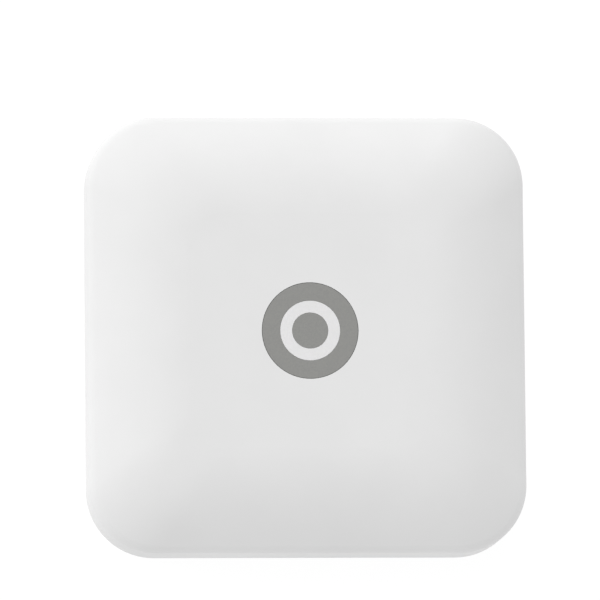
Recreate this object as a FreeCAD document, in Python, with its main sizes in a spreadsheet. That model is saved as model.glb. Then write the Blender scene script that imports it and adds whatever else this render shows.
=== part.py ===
"""Smart home hub: a white pillow-shaped case on four rubber feet, with its ports in the rear wall.

Millimetres. The origin is on the table under the middle of the case. +Z is up and +Y is the rear.
"""

import FreeCAD, Part
import math
import os
import re

import Sketcher

V = FreeCAD.Vector

SIZES = {
    # case
    "case_side": 126.0,  # across the walls, both ways
    "case_height": 31.0,  # table to the flat of the top
    "corner_radius": 19.5,  # of the case seen from above
    "flat_side": 68.0,  # the flat in the middle of the top
    "flat_radius": 9.0,
    "rim_room": 3.2,  # network jack's top up to where the crown meets the wall's plane
    "rim_radius": 4.0,
    "wall": 2.4,
    "foot_stand": 1.5,  # table to the base's underside
    "base_thickness": 2.0,
    "base_inset": 1.7,  # base outline inside the case outline
    "cover_edge_radius": 1.2,
    "base_edge_radius": 1.0,
    "lip_height": 3.0,
    "lip_thickness": 1.4,
    "fit_gap": 0.15,  # between pieces that slide together
    # case screws and feet
    "screw_inset": 17.0,  # screws and feet, in from the case's walls
    "screw_diameter": 3.0,
    "screw_length": 10.0,
    "screw_head_diameter": 5.6,
    "screw_head_height": 2.0,
    "boss_diameter": 8.0,
    "seat_diameter": 10.0,  # raised screw seat inside the base
    "seat_height": 2.0,
    "foot_diameter": 12.0,
    "foot_recess": 0.6,
    "foot_edge_radius": 0.6,
    # wall-hanging keyholes
    "keyhole_pitch": 94.0,
    "keyhole_entry": 8.6,  # diameter that lets the screw head in
    "keyhole_slot": 4.6,  # width that the shank slides along
    "keyhole_travel": 8.0,
    "keyhole_depth": 3.2,  # room for the head above the base's floor
    "keyhole_wall": 1.1,
    # vents and label
    "vent_width": 1.8,
    "vent_length": 16.0,
    "vent_pitch": 5.0,
    "vent_row": 25.0,  # middle of each row from the middle of the base
    "label_length": 52.0,
    "label_width": 26.0,
    "label_recess": 0.2,
    # badge and status light
    "badge_diameter": 27.5,
    "badge_inlay": 0.4,
    "lens_thickness": 1.4,
    "ring_outer": 17.2,  # the lit ring in the badge
    "ring_inner": 10.4,
    "window_diameter": 22.0,
    "funnel_foot": 10.0,
    "funnel_mouth": 20.0,
    "funnel_wall": 1.0,
    # main board
    "board_width": 76.0,
    "board_front_gap": 23.1,  # front edge to the inner face of the wall
    "board_thickness": 1.6,
    "board_stand": 1.7,  # base floor to the board's underside
    "board_radius": 2.5,
    "board_rear_gap": 2.1,  # rear edge to the inner face of the wall
    "standoff_diameter": 6.0,
    "board_screw_diameter": 2.5,
    "board_screw_length": 4.1,
    "board_screw_head_diameter": 4.6,
    "board_screw_head_height": 1.5,
    "board_screw_inset": 4.0,  # in from the board's sides and its front edge
    "board_screw_rear_inset": 20.5,
    # rear ports
    "port_recess_width": 82.0,
    "port_recess_depth": 1.2,
    "port_recess_radius": 1.6,  # its corners
    "port_recess_edge": 0.4,  # rounding where it meets the wall
    "port_recess_below": 1.1,  # under the jacks
    "port_recess_above": 0.5,  # over the tallest jack
    "jack_gap": 0.3,  # jack faces behind the inner face of the wall
    "ethernet_x": 8.5,
    "ethernet_width": 16.0,
    "ethernet_height": 11.4,
    "ethernet_depth": 21.0,
    "ethernet_sheet": 0.3,
    "plug_width": 11.9,  # opening for the network plug
    "plug_height": 7.0,
    "plug_depth": 13.0,
    "latch_width": 6.4,
    "latch_height": 1.9,
    "plug_floor": 1.0,  # jack's underside to the latch's slot
    "jack_set_back": 0.4,  # housing behind its shield's face
    "contact_pitch": 1.02,
    "contact_width": 0.4,
    "contact_thickness": 0.35,
    "contact_reach": 9.0,  # along the housing's ceiling
    "contact_hang": 2.6,  # ceiling to the sprung end
    "usb_x": -10.5,
    "usb_width": 13.2,
    "usb_height": 5.8,
    "usb_depth": 14.0,
    "usb_sheet": 0.35,
    "usb_lift": 0.5,
    "usb_tongue_width": 11.1,
    "usb_tongue_thickness": 1.84,
    "usb_tongue_drop": 0.26,  # shell's ceiling to the tongue
    "usb_tongue_back": 3.0,
    "usb_contact_width": 1.0,
    "usb_contact_thickness": 0.2,
    "usb_contact_length": 7.0,
    "power_x": 27.0,
    "power_width": 9.0,
    "power_height": 11.0,
    "power_depth": 14.0,
    "power_axis": 6.4,  # above the board
    "power_bore": 6.4,
    "power_pin": 2.0,
    "power_back": 4.0,  # solid behind the bore
    "power_pin_set_back": 1.0,
    "power_pin_root": 2.0,  # of the pin, in the solid
    "power_slot_width": 2.2,
    "power_slot_height": 1.6,
    "power_leaf_width": 1.8,
    "power_leaf_thickness": 0.3,
    "power_leaf_end": 1.5,  # its free end behind the jack's face
    # buttons
    "button_x": -25.0,
    "button_axis": 4.7,  # above the board
    "button_diameter": 6.0,
    "button_clearance": 0.2,
    "button_proud": 0.5,  # out of the recess
    "button_flange_lip": 1.1,  # flange past the cap all round
    "button_flange_thickness": 0.9,
    "button_stem": 3.0,
    "plunger_diameter": 3.4,
    "plunger_proud": 1.3,
    "plunger_length": 2.3,
    "switch_side": 6.2,
    "switch_depth": 3.8,
    "reset_x": -34.0,
    "reset_axis": 1.9,
    "reset_hole": 2.0,
    "reset_width": 4.7,
    "reset_height": 3.4,
    "reset_depth": 3.5,
    "reset_plunger_width": 2.0,
    "reset_plunger_height": 1.2,
    "reset_plunger_length": 1.9,
    "reset_plunger_proud": 0.9,
    "plunger_gap": 0.05,  # all round both plungers
    "plunger_room": 0.6,  # behind the pairing switch's plunger
    "reset_plunger_room": 0.4,
    # antennas
    "antenna_length": 36.0,
    "antenna_width": 9.0,
    "antenna_thickness": 0.3,
    "antenna_y": -15.0,
    "lead_diameter": 1.14,
    "plug_side": 2.8,  # lead plugs
    "plug_top": 2.4,
    "module_board_thickness": 0.8,
    "module_can_height": 2.2,
    "module_can_inset": 1.0,
    "module_plug_strip": 4.0,  # bare strip of a radio board, for its lead plug
    # heat sink and small parts
    "pad_inset": 0.5,
    "pad_thickness": 0.6,
    "sink_overhang": 3.5,
    "sink_height": 8.0,
    "sink_foot": 1.6,
    "sink_fin_pitch": 3.43,
    "sink_gap": 2.0,  # between two fins
    "capacitor_diameter": 6.2,
    "capacitor_height": 7.7,
    "capacitor_foot_side": 6.6,
    "capacitor_foot_height": 0.9,
    "passive_length": 2.0,
    "passive_width": 1.25,
    "passive_height": 0.9,
    "led_side": 5.0,
    "led_height": 1.5,
}

# What stands on the board: where its middle is, then its size across, along and up, and its bevel.
CHIPS = {
    "main_processor": (-16.0, 22.0, 17.0, 17.0, 1.4, 0.15),
    "memory_chip": (-17.0, -2.0, 10.0, 14.0, 1.1, 0.12),
    "flash_chip": (0.0, -26.0, 11.5, 13.0, 1.0, 0.12),
    "network_transformer": (9.0, 30.0, 12.7, 9.4, 5.8, 0.4),
    "power_inductor": (24.0, 20.0, 7.2, 7.2, 4.2, 0.6),
    "clock_crystal": (3.0, -13.0, 11.0, 4.6, 3.6, 0.5),
}
for chip, chip_sizes in CHIPS.items():
    for key, value in zip(("x", "y", "across", "along", "height", "bevel"), chip_sizes):
        SIZES[f"{chip}_{key}"] = value

# The radios: the module's middle and its size across and along.
RADIOS = {"wifi": (20.0, -20.0, 17.0, 23.0), "zigbee": (-22.0, -22.0, 15.0, 20.0)}
for radio, radio_sizes in RADIOS.items():
    for key, value in zip(("x", "y", "across", "along"), radio_sizes):
        SIZES[f"{radio}_{key}"] = value

CAPACITOR_SPOTS = [(24.0, 31.0), (32.0, 25.0)]

doc = FreeCAD.newDocument("smart_home_hub")
dims = doc.addObject("Spreadsheet::Sheet", "dims")
for row, (alias, size) in enumerate(SIZES.items(), 1):
    dims.set(f"A{row}", alias)
    dims.set(f"B{row}", str(size))
    dims.setAlias(f"B{row}", alias)
doc.recompute()

# Places that several pieces share, as expressions of the sizes.
HALF = "case_side / 2"
BASE_Z = "foot_stand"
FLOOR_Z = "(foot_stand + base_thickness)"
SEAT_Z = "(foot_stand + base_thickness + seat_height)"
INNER_Y = "(case_side / 2 - wall)"
SCREW_Y = "(case_side / 2 - screw_inset)"
BOARD_Z = "(foot_stand + base_thickness + board_stand)"
TOP_Z = "(foot_stand + base_thickness + board_stand + board_thickness)"
JACK_Y = "(case_side / 2 - wall - jack_gap)"
RECESS_Y = "(case_side / 2 - port_recess_depth)"
BOARD_REAR = "(case_side / 2 - wall - board_rear_gap)"
BOARD_FRONT = "(board_front_gap + wall - case_side / 2)"
BOARD_SCREW_X = "(board_width / 2 - board_screw_inset)"
BOARD_SCREW_FRONT = f"({BOARD_FRONT} + board_screw_inset)"
BOARD_SCREW_STEP = f"({BOARD_REAR} - board_screw_rear_inset - {BOARD_SCREW_FRONT})"
LENS_Z = "(case_height - badge_inlay - lens_thickness)"
INLAY_Z = "(case_height - badge_inlay)"
CROWN_Z = f"({TOP_Z} + ethernet_height + rim_room)"
CROWN_DROP = f"(case_height - {CROWN_Z})"
CROWN_RUN = "((case_side - flat_side) / 2)"
CROWN_RADIUS = f"(({CROWN_RUN} ^ 2 + {CROWN_DROP} ^ 2) / (2 * {CROWN_DROP}))"
PLUNGER_Y = f"({BOARD_REAR} - 0.6)"  # where the pairing button's stem meets its switch's plunger

CROWN_STEPS = 6
CORNERS = {"front_left": (-1, -1), "front_right": (1, -1), "rear_left": (-1, 1), "rear_right": (1, 1)}


def cells(expression):
    """The expression with each size's alias as a cell of the sheet."""
    return re.sub(r"[a-z]\w*", lambda m: f"dims.{m[0]}" if m[0] in SIZES else m[0], str(expression))


def number(expression):
    return float(dims.evalExpression(cells(expression)))


def bind(item, path, expression):
    item.setExpression(path, cells(expression))


def new_body(label):
    made = doc.addObject("PartDesign::Body", label)
    made.Label = label
    return made


def new_sketch(body, name, plane="XY_Plane", x="0", y="0", lift="0"):
    """A sketch on one of its body's origin planes, moved by x and y in it and by lift along its normal."""
    made = body.newObject("Sketcher::SketchObject", name)
    made.AttachmentSupport = (next(f for f in body.Origin.OriginFeatures if f.Role == plane), [""])
    made.MapMode = "FlatFace"
    for axis, expression in zip("xyz", (x, y, lift)):
        bind(made, f"AttachmentOffset.Base.{axis}", expression)
    return made


def facing_sketch(body, name, x, z, front):
    """A sketch in the plane y = front, for what faces the rear. A pad on it goes forward, into the hub."""
    return new_sketch(body, name, "XZ_Plane", x=x, y=z, lift=f"-({front})")


def constrain(sketch, name, expression, kind, *where):
    index = sketch.addConstraint(Sketcher.Constraint(kind, *where, number(expression)))
    sketch.renameConstraint(index, name)
    bind(sketch, f"Constraints.{name}", expression)


def draw_rectangle(sketch, width, height, radius=None):
    """A rectangle centred on the sketch's origin, with rounded corners if it has a radius."""
    w, h = number(width) / 2, number(height) / 2
    r = number(radius) if radius else 0.0
    a, b, turn = w - r, h - r, math.pi / 2
    lines = [(V(-a, -h), V(a, -h)), (V(w, -b), V(w, b)), (V(a, h), V(-a, h)), (V(-w, b), V(-w, -b))]
    middles = [V(a, -b), V(a, b), V(-a, b), V(-a, -b)]
    outline = []
    for k, ends in enumerate(lines):
        outline.append(Part.LineSegment(*ends))
        if radius:
            circle = Part.Circle(middles[k], V(0, 0, 1), r)
            outline.append(Part.ArcOfCircle(circle, (k - 1) * turn, k * turn))
    sketch.addGeometry(outline, False)
    step = 2 if radius else 1
    for k in range(len(outline)):
        joined = "Tangent" if radius else "Coincident"
        sketch.addConstraint(Sketcher.Constraint(joined, k, 2, (k + 1) % len(outline), 1))
    for k in (0, 2):
        sketch.addConstraint(Sketcher.Constraint("Horizontal", k * step))
        sketch.addConstraint(Sketcher.Constraint("Vertical", (k + 1) * step))
    if radius:
        for k in (3, 5, 7):
            sketch.addConstraint(Sketcher.Constraint("Equal", 1, k))
        sketch.addConstraint(Sketcher.Constraint("Symmetric", 1, 3, 5, 3, -1, 1))
        constrain(sketch, "radius", radius, "Radius", 1)
    else:
        sketch.addConstraint(Sketcher.Constraint("Symmetric", 0, 1, 2, 1, -1, 1))
    constrain(sketch, "width", width, "DistanceX", 3 * step, 1, step, 1)
    constrain(sketch, "height", height, "DistanceY", 0, 1, 2 * step, 1)


def draw_circle(sketch, diameter):
    index = sketch.addGeometry(Part.Circle(V(0, 0), V(0, 0, 1), number(diameter) / 2), False)
    sketch.addConstraint(Sketcher.Constraint("Coincident", index, 3, -1, 1))
    constrain(sketch, f"diameter_{index}", diameter, "Diameter", index)


def draw_slot(sketch, width, travel):
    """A slot along the sketch's Y axis, centred on its origin. Travel is between its ends' middles."""
    r, t = number(width) / 2, number(travel) / 2
    sketch.addGeometry([
        Part.LineSegment(V(r, -t), V(r, t)),
        Part.ArcOfCircle(Part.Circle(V(0, t), V(0, 0, 1), r), 0, math.pi),
        Part.LineSegment(V(-r, t), V(-r, -t)),
        Part.ArcOfCircle(Part.Circle(V(0, -t), V(0, 0, 1), r), math.pi, 2 * math.pi),
    ], False)
    for k in range(4):
        sketch.addConstraint(Sketcher.Constraint("Tangent", k, 2, (k + 1) % 4, 1))
    sketch.addConstraint(Sketcher.Constraint("Vertical", 0))
    sketch.addConstraint(Sketcher.Constraint("Symmetric", 1, 3, 3, 3, -1, 1))
    constrain(sketch, "radius", f"({width}) / 2", "Radius", 1)
    constrain(sketch, "travel", travel, "DistanceY", 3, 3, 1, 3)


def draw_outline(sketch, points):
    """A closed outline through points, each of them two expressions."""
    places = [V(number(x), number(y)) for x, y in points]
    count = len(places)
    sides = [Part.LineSegment(places[k], places[(k + 1) % count]) for k in range(count)]
    sketch.addGeometry(sides, False)
    for k, (x, y) in enumerate(points):
        sketch.addConstraint(Sketcher.Constraint("Coincident", k, 2, (k + 1) % count, 1))
        constrain(sketch, f"x{k}", x, "DistanceX", -1, 1, k, 1)
        constrain(sketch, f"y{k}", y, "DistanceY", -1, 1, k, 1)


def pad(body, sketch, length, reverse=False):
    made = body.newObject("PartDesign::Pad", sketch.Name + "_pad")
    made.Profile = sketch
    made.Reversed = reverse
    bind(made, "Length", length)
    return made


def pocket(body, sketch, length, reverse=False):
    made = body.newObject("PartDesign::Pocket", sketch.Name + "_pocket")
    made.Profile = sketch
    made.Reversed = reverse
    bind(made, "Length", length)
    return made


def repeat(body, features, axis, pitch, count):
    """A row of count copies of features, pitch apart along one of the body's axes."""
    made = body.newObject("PartDesign::LinearPattern", f"{features[-1].Name}_row_{axis[0].lower()}")
    made.Originals = features
    made.Direction = (next(f for f in body.Origin.OriginFeatures if f.Role == axis), [""])
    made.Occurrences = count
    bind(made, "Length", f"({pitch}) * {count - 1}")
    body.Tip = made
    return made


def to_corners(body, features, pitch_x, pitch_y=None):
    """Copies features, made at the front left corner, to all four corners."""
    row = body.newObject("PartDesign::MultiTransform", features[-1].Name + "_corners")
    row.Originals = features
    steps = []
    for axis, pitch in (("X_Axis", pitch_x), ("Y_Axis", pitch_y or pitch_x)):
        step = body.newObject("PartDesign::LinearPattern", f"{row.Name}_{axis[0].lower()}")
        step.Direction = (next(f for f in body.Origin.OriginFeatures if f.Role == axis), [""])
        step.Occurrences = 2
        bind(step, "Length", pitch)
        steps.append(step)
    row.Transformations = steps
    body.Tip = row
    return row


def edges_at(feature, test):
    """Names of a feature's edges whose bounding box passes the test."""
    doc.recompute()
    return [f"Edge{k}" for k, edge in enumerate(feature.Shape.Edges, 1) if test(edge.BoundBox)]


def level(z):
    """A test for edges that lie flat at one height."""
    height = number(z)
    return lambda box: abs(box.ZMin - height) < 1e-4 and abs(box.ZMax - height) < 1e-4


def round_edges(body, feature, test, radius):
    made = body.newObject("PartDesign::Fillet", feature.Name + "_rounded")
    made.Base = (feature, edges_at(feature, test))
    bind(made, "Radius", radius)
    return made


def bevel_edges(body, feature, test, size):
    made = body.newObject("PartDesign::Chamfer", feature.Name + "_bevelled")
    made.Base = (feature, edges_at(feature, test))
    bind(made, "Size", size)
    return made


def part_box(name, width, length, height, x, y, z):
    """A box centred on x, y that stands on z."""
    made = doc.addObject("Part::Box", name)
    for path, expression in (
        ("Length", width), ("Width", length), ("Height", height),
        ("Placement.Base.x", f"({x}) - ({width}) / 2"),
        ("Placement.Base.y", f"({y}) - ({length}) / 2"),
        ("Placement.Base.z", z),
    ):
        bind(made, path, expression)
    return made


def labelled(item, label):
    item.Label = label
    return item


def bevelled_box(label, width, length, height, x, y, z, bevel):
    """A moulded package: a box with its upper edges bevelled."""
    body = new_body(label)
    outline = new_sketch(body, f"{label}_outline", x=x, y=y, lift=z)
    draw_rectangle(outline, width, length)
    block = pad(body, outline, height)
    bevel_edges(body, block, level(f"{z} + {height}"), bevel)
    return body


# ---------------------------------------------------------------- case

def top_cover():
    """The one-piece upper shell: crowned top, walls, screw bosses, port recess and the badge's seat."""
    body = new_body("top_cover")
    outline = new_sketch(body, "cover_outline", lift=FLOOR_Z)
    draw_rectangle(outline, "case_side", "case_side", "corner_radius")
    pad(body, outline, f"{CROWN_Z} - {FLOOR_Z}")
    sections = []
    for step in range(CROWN_STEPS + 1):
        share = step / CROWN_STEPS
        lift = f"case_height - {CROWN_RADIUS} + sqrt({CROWN_RADIUS} ^ 2 - ({CROWN_RUN} * {1 - share}) ^ 2)"
        section = new_sketch(body, f"crown_{step}", lift=lift)
        side = f"case_side - (case_side - flat_side) * {share}"
        draw_rectangle(section, side, side, f"corner_radius - (corner_radius - flat_radius) * {share}")
        sections.append(section)
    crown = body.newObject("PartDesign::AdditiveLoft", "crown")
    crown.Profile = sections[0]
    crown.Sections = sections[1:]
    rim = round_edges(body, crown, level(CROWN_Z), "rim_radius")
    doc.recompute()
    floor, half = number(FLOOR_Z), number(HALF)
    faces = enumerate(rim.Shape.Faces, 1)
    open_faces = [f"Face{k}" for k, face in faces if abs(face.BoundBox.ZMax - floor) < 1e-4]
    hollow = body.newObject("PartDesign::Thickness", "cover_hollow")
    hollow.Base = (rim, open_faces)
    hollow.Reversed = True
    bind(hollow, "Value", "wall")
    at_floor = level(FLOOR_Z)

    def outer_edge(box):
        return at_floor(box) and max(box.XMax, -box.XMin, box.YMax, -box.YMin) > half - 1e-3

    round_edges(body, hollow, outer_edge, "cover_edge_radius")
    boss = new_sketch(body, "boss", x=f"-{SCREW_Y}", y=f"-{SCREW_Y}", lift=SEAT_Z)
    draw_circle(boss, "boss_diameter")
    boss_pad = body.newObject("PartDesign::Pad", "boss_pad")
    boss_pad.Profile = boss
    boss_pad.Type = "UpToFirst"
    pilot = new_sketch(body, "boss_pilot", x=f"-{SCREW_Y}", y=f"-{SCREW_Y}", lift=SEAT_Z)
    draw_circle(pilot, "screw_diameter + fit_gap")
    pilot_cut = pocket(body, pilot, "screw_length + 1.0", reverse=True)
    to_corners(body, [boss_pad, pilot_cut], f"2 * {SCREW_Y}")
    seat = new_sketch(body, "badge_seat", lift="case_height")
    draw_circle(seat, "badge_diameter + 2 * fit_gap")
    pocket(body, seat, "badge_inlay + lens_thickness")
    window = new_sketch(body, "lens_window", lift="case_height")
    draw_circle(window, "window_diameter")
    pocket(body, window, "wall + badge_inlay")
    recess_height = "ethernet_height + port_recess_below + port_recess_above"
    recess_z = f"{TOP_Z} - port_recess_below + ({recess_height}) / 2"
    recess = facing_sketch(body, "port_recess", "0", recess_z, HALF)
    draw_rectangle(recess, "port_recess_width", recess_height, "port_recess_radius")
    recess_cut = pocket(body, recess, "port_recess_depth", reverse=True)
    recess_top = number(f"{recess_z} + ({recess_height}) / 2")
    recess_side = number("port_recess_width / 2")
    at_rear = edges_in_plane_y(HALF)

    def recess_edge(box):
        inside = max(box.XMax, -box.XMin) < recess_side + 1e-3 and box.ZMax < recess_top + 1e-3
        return inside and at_rear(box)

    round_edges(body, recess_cut, recess_edge, "port_recess_edge")
    frames = (
        # name, size whose middle is on the port's, how far up, and how far past it the opening goes
        ("ethernet", f"{TOP_Z} + ethernet_height / 2", "-0.8"),
        ("usb", f"{TOP_Z} + usb_lift + usb_height / 2", "0.4"),
    )
    for name, z, past in frames:
        opening = facing_sketch(body, f"{name}_opening", f"{name}_x", z, HALF)
        draw_rectangle(opening, f"{name}_width + {past}", f"{name}_height + {past}", "0.5")
        pocket(body, opening, "wall * 1.5", reverse=True)
    holes = (
        ("power_opening", "power_x", f"{TOP_Z} + power_axis", "power_bore + 2.0"),
        ("button_opening", "button_x", f"{TOP_Z} + button_axis", "button_diameter + 2 * button_clearance"),
        ("reset_opening", "reset_x", f"{TOP_Z} + reset_axis", "reset_hole"),
    )
    for name, x, z, diameter in holes:
        hole = facing_sketch(body, name, x, z, HALF)
        draw_circle(hole, diameter)
        pocket(body, hole, "wall * 1.5", reverse=True)
    return body


def base_cover():
    """The lower shell: a plate with a locating lip, screw seats, standoffs, keyhole pockets and vents."""
    body = new_body("base_cover")
    outline = new_sketch(body, "base_outline", lift=BASE_Z)
    side = "case_side - 2 * base_inset"
    draw_rectangle(outline, side, side, "corner_radius - base_inset")
    plate = pad(body, outline, "base_thickness")
    round_edges(body, plate, level(BASE_Z), "base_edge_radius")
    lip = new_sketch(body, "lip", lift=FLOOR_Z)
    lip_side = "case_side - 2 * wall - 2 * fit_gap"
    draw_rectangle(lip, lip_side, lip_side, "corner_radius - wall - fit_gap")
    pad(body, lip, "lip_height")
    inside = new_sketch(body, "lip_inside", lift=FLOOR_Z)
    inner_side = f"{lip_side} - 2 * lip_thickness"
    draw_rectangle(inside, inner_side, inner_side, "corner_radius - wall - fit_gap - lip_thickness")
    pocket(body, inside, "lip_height", reverse=True)

    gap_y = f"{INNER_Y} - lip_thickness / 2"
    port_gap = new_sketch(body, "port_gap", y=gap_y, lift=FLOOR_Z)
    draw_rectangle(port_gap, "port_recess_width", "lip_thickness + 1")
    pocket(body, port_gap, "lip_height", reverse=True)

    corner = {"x": f"-{SCREW_Y}", "y": f"-{SCREW_Y}"}
    seat = new_sketch(body, "screw_seat", **corner, lift=FLOOR_Z)
    draw_circle(seat, "seat_diameter")
    seat_pad = pad(body, seat, "seat_height")
    clear = new_sketch(body, "screw_clear", **corner, lift=BASE_Z)
    draw_circle(clear, "screw_diameter + 0.4")
    clear_cut = pocket(body, clear, "base_thickness + seat_height", reverse=True)
    head = new_sketch(body, "screw_counterbore", **corner, lift=BASE_Z)
    draw_circle(head, "screw_head_diameter + 4 * fit_gap")
    head_cut = pocket(body, head, "foot_recess + screw_head_height + fit_gap", reverse=True)
    foot = new_sketch(body, "foot_recess_outline", **corner, lift=BASE_Z)
    draw_circle(foot, "foot_diameter + 2 * fit_gap")
    foot_cut = pocket(body, foot, "foot_recess", reverse=True)
    to_corners(body, [seat_pad, clear_cut, head_cut, foot_cut], f"2 * {SCREW_Y}")

    post = {"x": f"-{BOARD_SCREW_X}", "y": BOARD_SCREW_FRONT}
    standoff = new_sketch(body, "standoff", **post, lift=FLOOR_Z)
    draw_circle(standoff, "standoff_diameter")
    standoff_pad = pad(body, standoff, "board_stand")
    hole = new_sketch(body, "standoff_hole", **post, lift=BOARD_Z)
    draw_circle(hole, "board_screw_diameter + fit_gap")
    hole_cut = pocket(body, hole, "board_stand + base_thickness / 2")
    to_corners(body, [standoff_pad, hole_cut], f"2 * {BOARD_SCREW_X}", BOARD_SCREW_STEP)

    shroud = new_sketch(body, "keyhole_shroud", x="-keyhole_pitch / 2", lift=FLOOR_Z)
    draw_slot(shroud, "keyhole_entry + 0.6 + 2 * keyhole_wall", "keyhole_travel")
    shroud_pad = pad(body, shroud, "keyhole_depth + keyhole_wall")
    room = new_sketch(body, "keyhole_room", x="-keyhole_pitch / 2", lift=FLOOR_Z)
    draw_slot(room, "keyhole_entry + 0.6", "keyhole_travel")
    room_cut = pocket(body, room, "keyhole_depth", reverse=True)
    entry_place = {"x": "-keyhole_pitch / 2", "y": "keyhole_travel / 2"}
    entry = new_sketch(body, "keyhole_entry_hole", **entry_place, lift=BASE_Z)
    draw_circle(entry, "keyhole_entry")
    entry_cut = pocket(body, entry, "base_thickness + keyhole_depth", reverse=True)
    slot = new_sketch(body, "keyhole_slot_hole", x="-keyhole_pitch / 2", lift=BASE_Z)
    draw_slot(slot, "keyhole_slot", "keyhole_travel")
    slot_cut = pocket(body, slot, "base_thickness + keyhole_depth", reverse=True)
    repeat(body, [shroud_pad, room_cut, entry_cut, slot_cut], "X_Axis", "keyhole_pitch", 2)

    vent = new_sketch(body, "vent", x="-4 * vent_pitch", y="-vent_row", lift=BASE_Z)
    draw_slot(vent, "vent_width", "vent_length - vent_width")
    vent_cut = pocket(body, vent, "base_thickness", reverse=True)
    rows = body.newObject("PartDesign::MultiTransform", "vent_rows")
    rows.Originals = [vent_cut]
    steps = []
    for axis, count, length in (("X_Axis", 9, "8 * vent_pitch"), ("Y_Axis", 2, "2 * vent_row")):
        step = body.newObject("PartDesign::LinearPattern", f"vent_step_{axis[0].lower()}")
        step.Direction = (next(f for f in body.Origin.OriginFeatures if f.Role == axis), [""])
        step.Occurrences = count
        bind(step, "Length", length)
        steps.append(step)
    rows.Transformations = steps
    body.Tip = rows
    label = new_sketch(body, "label_recess_outline", lift=BASE_Z)
    draw_rectangle(label, "label_length + 2 * fit_gap", "label_width + 2 * fit_gap", "2")
    pocket(body, label, "label_recess", reverse=True)
    return body


def rating_label():
    """The blank self-adhesive label under the base."""
    body = new_body("rating_label")
    outline = new_sketch(body, "label_outline", lift=BASE_Z)
    draw_rectangle(outline, "label_length", "label_width", "2 - fit_gap")
    pad(body, outline, "label_recess")
    return body


def foot(label, side_x, side_y):
    """A round rubber foot, stuck in its recess over the screw head."""
    round_foot = doc.addObject("Part::Cylinder", f"{label}_disc")
    bind(round_foot, "Radius", "foot_diameter / 2")
    bind(round_foot, "Height", "foot_stand + foot_recess")
    bind(round_foot, "Placement.Base.x", f"{side_x} * {SCREW_Y}")
    bind(round_foot, "Placement.Base.y", f"{side_y} * {SCREW_Y}")
    made = doc.addObject("Part::Fillet", label)
    made.Base = round_foot
    doc.recompute()
    radius = number("foot_edge_radius")
    lowest = edges_at(round_foot, level("0"))
    made.Edges = [(int(name[4:]), radius, radius) for name in lowest]
    return labelled(made, label)


def cross_head_screws(label, key, seat_z, corner, pitch_x, pitch_y, way):
    """Four screws at a rectangle's corners. The heads stand on z = seat_z and the shanks go way from it."""
    body = new_body(label)
    diameter, length = f"{key}_diameter", f"{key}_length"
    head_diameter, head_height = f"{key}_head_diameter", f"{key}_head_height"
    x, y = corner
    outline = new_sketch(body, f"{label}_outline", "XZ_Plane", x=x, y=seat_z, lift=f"-({y})")
    head_top = f"-({way}) * {head_height}"
    root = f"{diameter} / 2 - 0.12"
    points = [
        ("0", head_top),
        (f"{head_diameter} / 2 - 0.5", head_top),
        (f"{head_diameter} / 2", f"-({way}) * ({head_height} - 0.7)"),
        (f"{head_diameter} / 2", "0"),
        (root, "0"),
    ]
    for turn in range(8):
        points.append((root, f"({way}) * {length} * {0.15 + 0.1 * turn}"))
        points.append((f"{diameter} / 2", f"({way}) * {length} * {0.19 + 0.1 * turn}"))
    points.append((root, f"({way}) * {length} * 0.94"))
    points.append((f"{diameter} / 4", f"({way}) * {length}"))
    points.append(("0", f"({way}) * {length}"))
    draw_outline(outline, points)
    shank = revolve_about_sketch(body, outline)
    cross = new_sketch(body, f"{label}_cross", x=x, y=y, lift=f"{seat_z} - ({way}) * {head_height}")
    draw_cross(cross, f"{head_diameter} * 0.5", f"{head_diameter} * 0.14")
    recess = pocket(body, cross, f"{head_height} * 0.6", reverse=way > 0)
    to_corners(body, [shank, recess], pitch_x, pitch_y)
    return body


def case_screws():
    """The four screws that come up through the base into the cover's bosses, under the feet."""
    seat_z = f"{BASE_Z} + foot_recess + screw_head_height + fit_gap"
    corner = (f"-{SCREW_Y}", f"-{SCREW_Y}")
    pitch = f"2 * {SCREW_Y}"
    return cross_head_screws("case_screws", "screw", seat_z, corner, pitch, pitch, 1)


def board_screws():
    """The four screws that hold the board down on its standoffs."""
    corner = (f"-{BOARD_SCREW_X}", BOARD_SCREW_FRONT)
    pitch = f"2 * {BOARD_SCREW_X}"
    return cross_head_screws("board_screws", "board_screw", TOP_Z, corner, pitch, BOARD_SCREW_STEP, -1)


def revolve_about_sketch(body, sketch):
    """Turns a profile about its own sketch's vertical axis."""
    made = body.newObject("PartDesign::Revolution", sketch.Name + "_turned")
    made.Profile = sketch
    made.ReferenceAxis = (sketch, ["V_Axis"])
    made.Angle = 360
    return made


def draw_cross(sketch, span, width):
    """A plus sign centred on the sketch's origin."""
    s, w = f"({span}) / 2", f"({width}) / 2"
    draw_outline(sketch, [
        (f"-{w}", f"-{s}"), (w, f"-{s}"), (w, f"-{w}"), (s, f"-{w}"), (s, w), (w, w),
        (w, s), (f"-{w}", s), (f"-{w}", w), (f"-{s}", w), (f"-{s}", f"-{w}"), (f"-{w}", f"-{w}"),
    ])


# ---------------------------------------------------------------- badge and status light

def status_lens():
    """The milky lens under the badge. Its raised ring shows between the two inlays."""
    body = new_body("status_lens")
    disc = new_sketch(body, "lens_disc", lift=LENS_Z)
    draw_circle(disc, "badge_diameter")
    pad(body, disc, "lens_thickness")
    ring = new_sketch(body, "lens_ring", lift=INLAY_Z)
    draw_circle(ring, "ring_outer")
    draw_circle(ring, "ring_inner")
    pad(body, ring, "badge_inlay")
    return body


def badge_ring():
    body = new_body("badge_ring")
    ring = new_sketch(body, "badge_ring_outline", lift=INLAY_Z)
    draw_circle(ring, "badge_diameter")
    draw_circle(ring, "ring_outer + 2 * 0.05")
    pad(body, ring, "badge_inlay")
    return body


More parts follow.
